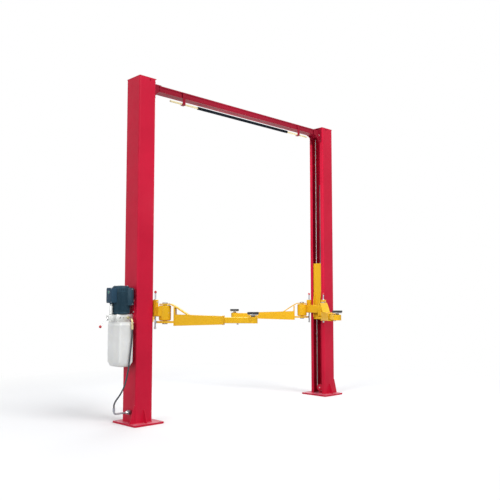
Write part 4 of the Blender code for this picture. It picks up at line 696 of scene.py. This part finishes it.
def hydraulic_ends():
    """Brass elbow with its nuts above the hose, and the ferrule, bend and port block below it."""
    x, y = HOSE_TOP[:2]
    form = Form("elbow_finished")
    line = [(x, -0.0603, ELBOW_Z), (x, -0.075, ELBOW_Z)]
    line += [(x, y + along, ELBOW_Z - drop) for along, drop in quarter(0.0477, 14)]
    line += [(x, y, 1.01), (x, y, 0.975)]
    form.tube(line, 0.0098, BRASS, steps=28)
    down = moved(x, y)
    form.solid([(0.0115, 1.0095), (0.013, 1.0075), (0.013, 0.988)], BRASS, down, 6)
    form.solid([(0.0112, 0.9885), (0.0112, 0.962), (0.0104, 0.9604)], BRASS, down, 40)
    for z in (0.966, 0.972, 0.978):
        form.turned(bead(0.011, 0.0118, z, 0.0008, 0.0032), BRASS, down, 40, True)
    form.solid([(0.015, 0.0), (0.015, 0.013), (0.0132, 0.0158)], BRASS,
               moved(x, -0.0603, ELBOW_Z, "X", pi / 2), 6)
    form.show("frame", "pressure_fitting")

    x, y = HOSE_END[:2]
    form = Form("port_finished")
    form.box((PORT_X, -0.1023), (y - 0.02, y + 0.02), (PORT_Z - 0.02, PORT_Z + 0.02), STEEL, 0.002)
    line = [(-0.14, y, PORT_Z), (-0.2, y, PORT_Z), (-0.262, y, PORT_Z)]
    line += [(x + along, y, PORT_Z + climb) for along, climb in quarter(0.026, 12)]
    form.tube([*line, (x, y, 0.16)], 0.0088, STEEL, steps=28)
    form.solid([(0.015, 0.0), (0.015, 0.02), (0.013, 0.0238)], ZINC,
               moved(PORT_X, y, PORT_Z, "Y", -pi / 2), 6)
    sleeve = moved(x, y)
    form.solid([(0.0118, 0.152), (0.0118, 0.1846), (0.0106, 0.186)], STEEL, sleeve, 40)
    for z in (0.158, 0.165, 0.172):
        form.turned(bead(0.0116, 0.0121, z, 0.001, 0.0045), STEEL, sleeve, 40, True)
    for screw_y in (y - 0.014, y + 0.014):
        for z in (PORT_Z - 0.014, PORT_Z + 0.014):
            form.solid([(0.003, 0.0034), (0.0036, 0.0026), (0.0036, 0.0)], STEEL,
                       moved(PORT_X, screw_y, z, "Y", -pi / 2), 20)
    form.show("frame", "hose_connector")


def shutoff_bar():
    """Round bar with bevelled ends, and the foam sleeve round its middle."""
    along = moved(MIDDLE_X, BAR_Y, BAR_Z, "Y", pi / 2)
    form = Form("bar_finished")
    form.solid([(0.009, -1.14), (0.0099, -1.139), (0.0099, 1.139), (0.009, 1.14)], CREAM, along)
    form.show("shutoff", "shutoff_bar")
    form = Form("foam_finished")
    rings = []
    for z in arc(-0.75, 0.75, 120):
        ring = []
        for angle in arc(0.0, 2 * pi, 40)[:-1]:
            radius = 0.0166 + 0.0004 * noise.noise((8 * cos(angle), 8 * sin(angle), 30 * z))
            ring.append((radius * cos(angle), radius * sin(angle), z))
        rings.append(ring)
    form.rings(rings, FOAM, along)
    form.show("shutoff", "foam_sleeve")


for make in (motor, switch_box, reservoir, pump_block, lowering_lever, hydraulic_ends, shutoff_bar):
    make()


def spaced(points, step):
    """Points along a polyline, about a step apart."""
    path = [Vector(points[0])]
    for first, second in zip(points, points[1:]):
        first, second = Vector(first), Vector(second)
        count = max(1, round((second - first).length / step))
        path += [first.lerp(second, i / count) for i in range(1, count + 1)]
    return path


def weld(form, points, radius, look):
    """A rippled bead along a polyline."""
    form.tube(spaced(points, WELD_STEP), radius, look, steps=8, ripple=0.1)


def folded_line(corners, bend, steps=5):
    """A polyline whose inner corners are rounded."""
    line = [Vector(corners[0])]
    for before, corner, after in zip(corners, corners[1:], corners[2:]):
        before, corner, after = Vector(before), Vector(corner), Vector(after)
        start = corner + (before - corner).normalized() * bend
        end = corner + (after - corner).normalized() * bend
        middle = start + end - corner
        for a in arc(0.0, pi / 2, steps):
            line.append(middle + (start - middle) * cos(a) + (end - middle) * sin(a))
    line.append(Vector(corners[-1]))
    return line


def rod_and_cylinder(name):
    """Chromed rod on the base plate and the painted cylinder that climbs it."""
    side = SIDES[name] @ moved(ROD_X)
    form = Form(name + "_rod_finished")
    form.solid([(0.019, 1.83), (0.022, 1.827), (0.022, 0.048)], CHROME, side)
    form.turned([(0.0215, 0.05), (0.024, 0.05), (0.033, 0.048), (0.034, 0.046),
                 (0.034, 0.0184), (0.0, 0.0184)], STEEL, side)
    form.show("frame", name + "_lifting_rod")
    form = Form(name + "_cylinder_finished")
    form.turned([(0.0, 2.845), (0.015, 2.845), (0.018, 2.842), (0.018, 2.83),
                 (0.033, 2.83), (0.0358, 2.827), (0.036, 2.78), (0.036, 1.7653)], GREY, side)
    form.turned([(0.0355, 1.77), (0.047, 1.7653), (0.0495, 1.764), (0.05, 1.762),
                 (0.05, 1.752), (0.049, 1.7505), (0.0355, 1.7505)], STEEL, side, closed=True)
    form.turned([(0.036, 1.751), (0.036, 1.12), (0.041, 1.119), (0.042, 1.117),
                 (0.042, 1.096), (0.0412, 1.095), (0.0412, 1.09), (0.042, 1.089),
                 (0.042, 1.063), (0.04, 1.0603), (0.0235, 1.0603), (0.0235, 1.07)], GREY, side)
    form.turned([(0.0225, 1.0625), (0.0238, 1.059), (0.025, 1.0585), (0.03, 1.0604)], RUBBER,
                side, 40, True)
    form.solid([(0.003, 2.868), (0.004, 2.866), (0.004, 2.856), (0.006, 2.856), (0.006, 2.8445)],
               BRASS, side, 20)
    form.show(name + "_lift_carriage", name + "_cylinder")


def wheels(name):
    """Grooved sheaves with thinner webs and thick hubs, and their axles."""
    top = SIDES[name] @ moved(SHEAVE_X, 0.0, SHEAVE_Z, "X", pi / 2)
    form = Form(name + "_top_sheaves_finished")
    form.tube([(0, 0, z) for z in (-BRACKET_FACE, -0.0655, 0.0655, BRACKET_FACE)], 0.0096, ZINC,
              top, 28)
    profile = mirrored([(0.01, 0.008), (0.018, 0.008), (0.019, 0.0068), (0.033, 0.0055),
                        (0.037, 0.0078), (0.049, 0.0078), (0.0498, 0.007), (0.043, 0.005),
                        (0.04, 0.0028), (0.0392, 0.0)])
    # The top sheaves take the darker red: painted shade.
    for middle in (-SHEAVE_Y, SHEAVE_Y):
        form.turned(profile, SHADED_RED, top @ moved(0, 0, middle), 56, True)
    form.turned([(0.01, 0.035), (0.0165, 0.035), (0.0165, -0.035), (0.01, -0.035)], SHADED_RED,
                top, 32, True)
    form.show("frame", name + "_top_sheaves")
    foot = SIDES[name] @ moved(FOOT_SHEAVE_X, 0.0, FOOT_SHEAVE_Z, "Y", pi / 2)
    form = Form(name + "_bottom_sheave_finished")
    profile = mirrored([(0.0, 0.008), (0.015, 0.008), (0.016, 0.0068), (0.031, 0.0055),
                        (0.035, 0.0078), (0.045, 0.0078), (0.0458, 0.007), (0.04, 0.005),
                        (0.0378, 0.0028), (0.0371, 0.0)])
    form.turned(profile[:-1] + [(0.0068, -0.008), (0.0068, -0.0158), (0.0, -0.0158)], RED, foot, 56)
    form.solid([(0.0085, 0.0105), (0.01, 0.009), (0.01, 0.0075)], ZINC, foot, 6)
    form.show("frame", name + "_bottom_sheave")


def wire_rope():
    """One closed loop of laid wire rope over all the sheaves."""
    reach = SHEAVE_X - FOOT_SHEAVE_X
    half = [(SHEAVE_X - reach * cos(a), SHEAVE_Z + reach * sin(a)) for a in arc(0.0, pi / 2, 12)]
    half += [(POST_SPACING - x, z) for x, z in reversed(half)]
    foot = [(SHEAVE_Y * cos(a), FOOT_SHEAVE_Z - SHEAVE_Y * sin(a)) for a in arc(0.0, pi, 20)]
    path = [(x, -SHEAVE_Y, z) for x, z in half]
    path += [(POST_SPACING - FOOT_SHEAVE_X, -y, z) for y, z in foot]
    path += [(x, SHEAVE_Y, z) for x, z in reversed(half)]
    path += [(FOOT_SHEAVE_X, y, z) for y, z in foot]
    places = spaced([*path, path[0]], 0.0075)[:-1]
    form = Form("wire_rope_finished")
    form.tube(places, 0.0049, ROPE, steps=18, lobes=6, lay=0.066, cyclic=True)
    form.show("frame", "equalizing_cable")


def arm_lock(corner):
    """Pull rod with a red ball, a return collar and the toothed block that holds the arm."""
    side, local = CORNERS[corner]
    form = Form(corner + "_lock_finished")
    to_x, to_y = PIVOT_X - LOCK_X, local * (PIVOT_Y - LOCK_Y)
    toward = atan2(-to_y, -to_x)
    inner, thickness = 0.0892, 0.0163
    half = radians(7.4)
    polar = [(inner + thickness, a) for a in arc(-half, half, 12)]
    polar += [(inner + 0.0002 + 0.003 * (0.5 + 0.5 * cos(22 * a)), a) for a in arc(half, -half, 24)]
    outline = [(radius * cos(toward + a), radius * sin(toward + a)) for radius, a in polar]
    form.plate(outline, 1.0102, 1.0458, STEEL, 0.0008, moved(to_x, to_y))
    form.solid([(0.007, 1.33), (0.0078, 1.327), (0.0078, 0.9565), (0.0066, 0.9552)], STEEL,
               steps=32)
    form.turned([(0.0077, 0.974), (0.0118, 0.9736), (0.0122, 0.973), (0.0122, 0.9718),
                 (0.0118, 0.9712), (0.0077, 0.9708)], ZINC, steps=32, closed=True)
    form.solid([(0.013, 0.9709), (0.013, 0.961)], ZINC, steps=6)
    form.turned(ball(1.338, 0.84, 0.009), KNOB, steps=40)
    form.show(corner + "_lock", corner + "_arm_lock", side @ moved(LOCK_X, local * LOCK_Y))


def arm_pad(corner):
    """Moulded rubber pad with square blocks on its face."""
    form = Form(corner + "_pad_finished")
    low, high = 1.1105, 1.1323
    form.turned([(0.0, high - 0.0045), (0.054, high - 0.0045), (0.0545, high - 0.001),
                 (0.056, high), (0.058, high), (0.0596, high - 0.0016), (0.06, high - 0.004),
                 (0.0594, low + 0.01), (0.06, low + 0.006), (0.0596, low), (0.0, low)], RUBBER,
                steps=72)
    pitch, half, reach = 0.0118, 0.0047, 0.0485
    for i in range(-4, 5):
        for k in range(-4, 5):
            x, y = i * pitch, k * pitch
            if hypot(x, y) < reach:
                form.box((x - half, x + half), (y - half, y + half), (high - 0.006, high - 0.0004),
                         RUBBER, 0.0009, segments=1)
    form.show(corner + "_reach", corner + "_arm_pad", corner_matrix(corner) @ moved(ARM_END))


for name in SIDES:
    rod_and_cylinder(name)
    wheels(name)
wire_rope()
for corner in CORNERS:
    arm_lock(corner)
    arm_pad(corner)


def arm_details(corner):
    """Round disc, pin with its keeper, welds, and the screw and dish at the arm's end."""
    form = Form(corner + "_arm_details")
    form.solid([(0.059, 1.2178), (0.0602, 1.2166), (0.0603, 1.2064), (0.0592, 1.2053)], YELLOW,
               steps=72)
    form.solid([(0.0255, 1.2302), (0.0272, 1.2286), (0.0272, 1.2172)], STEEL)
    form.solid([(0.0272, 1.0178), (0.0272, 1.0076), (0.0256, 1.0057)], STEEL)
    form.solid([(0.0202, 1.2176), (0.0202, 1.018)], STEEL)
    form.solid([(0.0018, 1.2385), (0.003, 1.2372), (0.0024, 1.235), (0.003, 1.2335),
                (0.003, 1.2295)], BRASS, steps=16)
    form.plate(rounded((0.018, 0.052), (-0.008, 0.008), 0.0078), 1.2178, 1.2208, ZINC, 0.0006)
    form.bolt((0.043, 0.0, 1.2208), (0, 0, 1), 0.006, ZINC, False)
    for y in (-0.0462, 0.0462):
        weld(form, [(0.1155, y, 1.106), (0.1155, y, 0.9905)], 0.0024, YELLOW)
    for x, z, radius in ((0.116, 1.1062, 0.003), (0.0995, 1.0385, 0.0032),
                         (0.2555, 1.1022, 0.0032)):
        weld(form, [(x, -0.046, z), (x, 0.046, z)], radius, YELLOW)
    x, y, low, high = 0.6078, 0.0468, 1.005, 1.0915
    rim = [(x, -y, low), (x, -y, high), (x, y, high), (x, y, low), (x, -y, low)]
    weld(form, rim, 0.0022, YELLOW)
    form.show(corner + "_swing", matrix=corner_matrix(corner))

    form = Form(corner + "_reach_details")
    boss, stop = moved(ARM_END), moved(0.76)
    form.solid([(0.045, 1.0178), (0.0464, 1.0192), (0.0464, 1.0782), (0.0404, 1.0843)], YELLOW,
               boss, 64)
    thread = [(0.0, 1.0845)]
    for i in range(8):
        z = 1.0845 + i * 0.002
        thread += [(0.0201, z), (0.0212, z + 0.0007), (0.0201, z + 0.0016)]
    form.turned([*thread, (0.0, 1.1004)], STEEL, boss, 40)
    form.solid([(0.052, 1.0998), (0.0542, 1.1014), (0.0546, 1.104), (0.0546, 1.1085),
                (0.0534, 1.1102)], ZINC, boss, 64)
    form.solid([(0.0106, 1.0178), (0.0106, 1.0028), (0.0092, 1.0013)], ZINC, stop, 6)
    form.solid([(0.015, 1.0182), (0.015, 1.0166)], ZINC, stop, 28)
    weld(form, [(ARM_END + 0.0466 * cos(a), 0.0466 * sin(a), 1.02)
                for a in arc(-0.75 * pi, 0.75 * pi, 40)], 0.0022, YELLOW)
    form.show(corner + "_reach", matrix=corner_matrix(corner))


def carriage_details(name):
    """Turned arm lugs, bushings of the lock rods, slide blocks, grease nipples and welds."""
    form = Form(name + "_carriage_details")
    for local in (-1, 1):
        pivot = moved(PIVOT_X, local * PIVOT_Y)
        round_off = [(0.0142 * sin(a), 0.0142 * cos(a)) for a in arc(0.0, pi / 2, 8)]
        profile = [(0.0484 + out, 1.1862 + up) for out, up in round_off]
        profile += [(0.0484 + out, 1.0573 - up) for up, out in round_off]
        profile += [(0.0204, 1.0431), (0.0204, 1.2004)]
        form.turned(profile, YELLOW, pivot, 80, True)
        for z, rise in ((1.043, -0.001), (1.2004, 0.001)):
            form.turned([(0.0204, z), (0.03, z), (0.03, z + rise), (0.0204, z + rise)], BRASS,
                        pivot, 40, True)
        form.bolt((PIVOT_X, local * 0.2425, 1.122), (0, local, 0), 0.005, BRASS, False, 0.006)
        form.turned([(0.0082, 1.2576), (0.015, 1.2576), (0.015, 1.261), (0.013, 1.264),
                     (0.0082, 1.264)], ZINC, moved(LOCK_X, local * LOCK_Y), 36, True)
        for z in (1.11, 1.235):
            form.bolt((0.1245, local * 0.155, z), (0, local, 0), 0.006, ZINC)
        for x, y, low, high, radius in (
                (0.1065, 0.1555, 1.09, 1.256, 0.0022), (0.11, 0.0605, 1.088, 1.238, 0.0028),
                (0.0862, 0.0605, 1.032, 1.416, 0.003), (0.1652, 0.13, 1.0865, 1.1885, 0.003)):
            weld(form, [(x, local * y, low), (x, local * y, high)], radius, YELLOW)
        for low in (1.04, 1.59):
            form.box((-0.0603, 0.0603), sorted((local * 0.0995, local * 0.1124)),
                     (low - 0.0003, low + 0.1203), TANK, 0.0015)
            for x in (-0.04, 0.04):
                form.bolt((x, local * 0.0918, low + 0.06), (0, -local, 0), 0.006, ZINC)
    for y in (-0.03, 0.03):
        form.solid([(0.009, 1.19), (0.009, 1.1912)], YELLOW, moved(0.1375, y), 24)
    form.show(name + "_lift_carriage", matrix=SIDES[name])


def post_details(name):
    """Welds, bolts and hole rims of one post with its plate, cap and beam bracket."""
    form = Form(name + "_post_details")
    outer = 1 if name == "far" else -1
    corners = [(0.1025, -0.072), (0.1025, -0.1195), (-0.1025, -0.1195), (-0.1025, 0.1195),
               (0.1025, 0.1195), (0.1025, 0.072)]
    weld(form, folded_line([(x, y, PLATE_TOP) for x, y in corners], 0.012), 0.004, RED)
    for shift in (-0.0046, 0.0046):
        y = outer * 0.105 + shift
        inner = (-0.103, y, PLATE_TOP)
        weld(form, [(-0.159, y, PLATE_TOP), inner], 0.0026, RED)
        weld(form, [inner, (-0.103, y, 0.194)], 0.0026, RED)
        for local in (-1, 1):
            inner = (shift, local * 0.1202, PLATE_TOP)
            weld(form, [(shift, local * 0.169, PLATE_TOP), inner], 0.0026, RED)
            weld(form, [inner, (shift, local * 0.1202, 0.144)], 0.0026, RED)
    for x, y in ((-0.135, -0.174), (-0.135, 0.174), (0.161, -0.174), (0.161, 0.174), (0.161, 0.0)):
        form.turned([(0.0102, 0.0172), (0.0106, 0.0183), (0.0118, 0.0183), (0.0134, 0.018),
                     (0.0134, 0.006), (0.0102, 0.006)], STEEL, moved(x, y), 36, True)
    # Bolts near the post's top and on the beam bracket, and the bracket's welds, take the darker
    # red: painted shade.
    for local in (-1, 1):
        form.bolt((0.031, local * 0.119, 3.576), (0, local, 0), 0.008, SHADED_RED)
        for z in (3.413, 3.455, 3.53, 3.566):
            form.bolt((0.1103, local * 0.085, z), (1, 0, 0), 0.01, SHADED_RED)
        for z in (3.513, 3.549):
            form.bolt((0.192, local * 0.0653, z), (0, local, 0), 0.01, SHADED_RED)
        form.solid([(0.014, 0.0), (0.015, 0.001), (0.015, 0.003), (0.0135, 0.0042)], ZINC,
                   moved(SHEAVE_X, local * BRACKET_FACE, SHEAVE_Z, "X", -local * pi / 2), 36)
        weld(form, [(0.1105, local * 0.0655, z) for z in (3.4, 3.564)], 0.0028, SHADED_RED)
    corners = [(0.102, -0.119), (-0.102, -0.119), (-0.102, 0.119), (0.102, 0.119)]
    weld(form, folded_line([(x, y, CAP_Z) for x, y in corners], 0.006), 0.0016, RED)
    form.show("frame", matrix=SIDES[name])


def beam_details():
    """Cover screws and hanger bolts on the crossbeam."""
    form = Form("beam_details")
    # The beam's screws and hanger bolts take its darker red: painted shade.
    for x in arc(MIDDLE_X - 1.22, MIDDLE_X + 1.22, 6):
        for z in (3.508, 3.54):
            form.turned([(0.0, 0.0026), (0.0028, 0.0024), (0.005, 0.001), (0.0056, 0.0),
                         (0.0, 0.0)], SHADED_RED, moved(x, -0.0526, z, "X", pi / 2), 24)
    for x in (MIDDLE_X - 0.96, MIDDLE_X + 0.96):
        for z in (3.504, 3.548):
            form.bolt((x, -0.0643, z), (0, -1, 0), 0.007, SHADED_RED)
        form.box((x - 0.018, x + 0.018), (-0.0636, -0.0606), (3.418, 3.44), RUBBER, 0.0006)
    form.show("frame")


def unit_details():
    """Bolts of the power unit's bracket and its welded edge."""
    form = Form("unit_details")
    for y in (-0.068, 0.068):
        for z in (1.024, 1.134, 1.246):
            form.bolt((-0.1083, y, z), (-1, 0, 0), 0.008, ZINC)
    for y in (-0.0806, 0.0806):
        weld(form, [(-0.1028, y, 1.022), (-0.1028, y, 1.248)], 0.002, RED)
    form.show("frame")


for corner in CORNERS:
    arm_details(corner)
for name in SIDES:
    carriage_details(name)
    post_details(name)
beam_details()
unit_details()


def floor_and_light():
    """A pale floor that turns white away from the lift, a white world and soft area lamps."""
    mesh = bpy.data.meshes.new("studio_floor")
    form = bmesh.new()
    bmesh.ops.create_circle(form, cap_ends=True, radius=FLOOR_RADIUS, segments=64)
    form.to_mesh(mesh)
    form.free()
    floor = placed("studio_floor", mesh)
    floor.location = (MIDDLE_X, 0, -0.001)
    surface = Surface("studio_floor", 0.9)
    glow = surface.node("Emission", {"Color": WHITE, "Strength": 1.0})[0]
    distance = surface.node("VectorMath", {0: surface.place}, operation="LENGTH")["Value"]
    far = surface.ramp(distance, 2.2, 5.0)
    seen = surface.background_rays()
    surface.set(Base_Color=surface.mix(seen, (0.42, 0.42, 0.42), (0.9, 0.9, 0.9)),
                Specular_IOR_Level=0.1)
    surface.blended(surface.math("MULTIPLY", far, seen), surface.shader.outputs[0], glow,
                    "Material Output")
    mesh.materials.append(surface.material)

    world = bpy.data.worlds.new("studio_world")
    bpy.context.scene.world = world
    sky = Nodes(world)
    base = sky.node("Background", {"Color": (0.93, 0.96, 1.0, 1.0), "Strength": 0.6})[0]
    white = sky.node("Background", {"Color": WHITE, "Strength": 1.0})[0]
    sky.blended(sky.background_rays(), base, white, "World Output")

    for name, place, target, size, power in LAMPS:
        data = bpy.data.lights.new(name, "AREA")
        data.shape = "SQUARE"
        data.size = size
        data.energy = power
        lamp = placed(name, data)
        lamp.location = place
        lamp.visible_camera = False
        lamp.rotation_euler = (Vector(target) - Vector(place)).to_track_quat("-Z", "Y").to_euler()
    bpy.context.scene.view_settings.view_transform = "Standard"


floor_and_light()
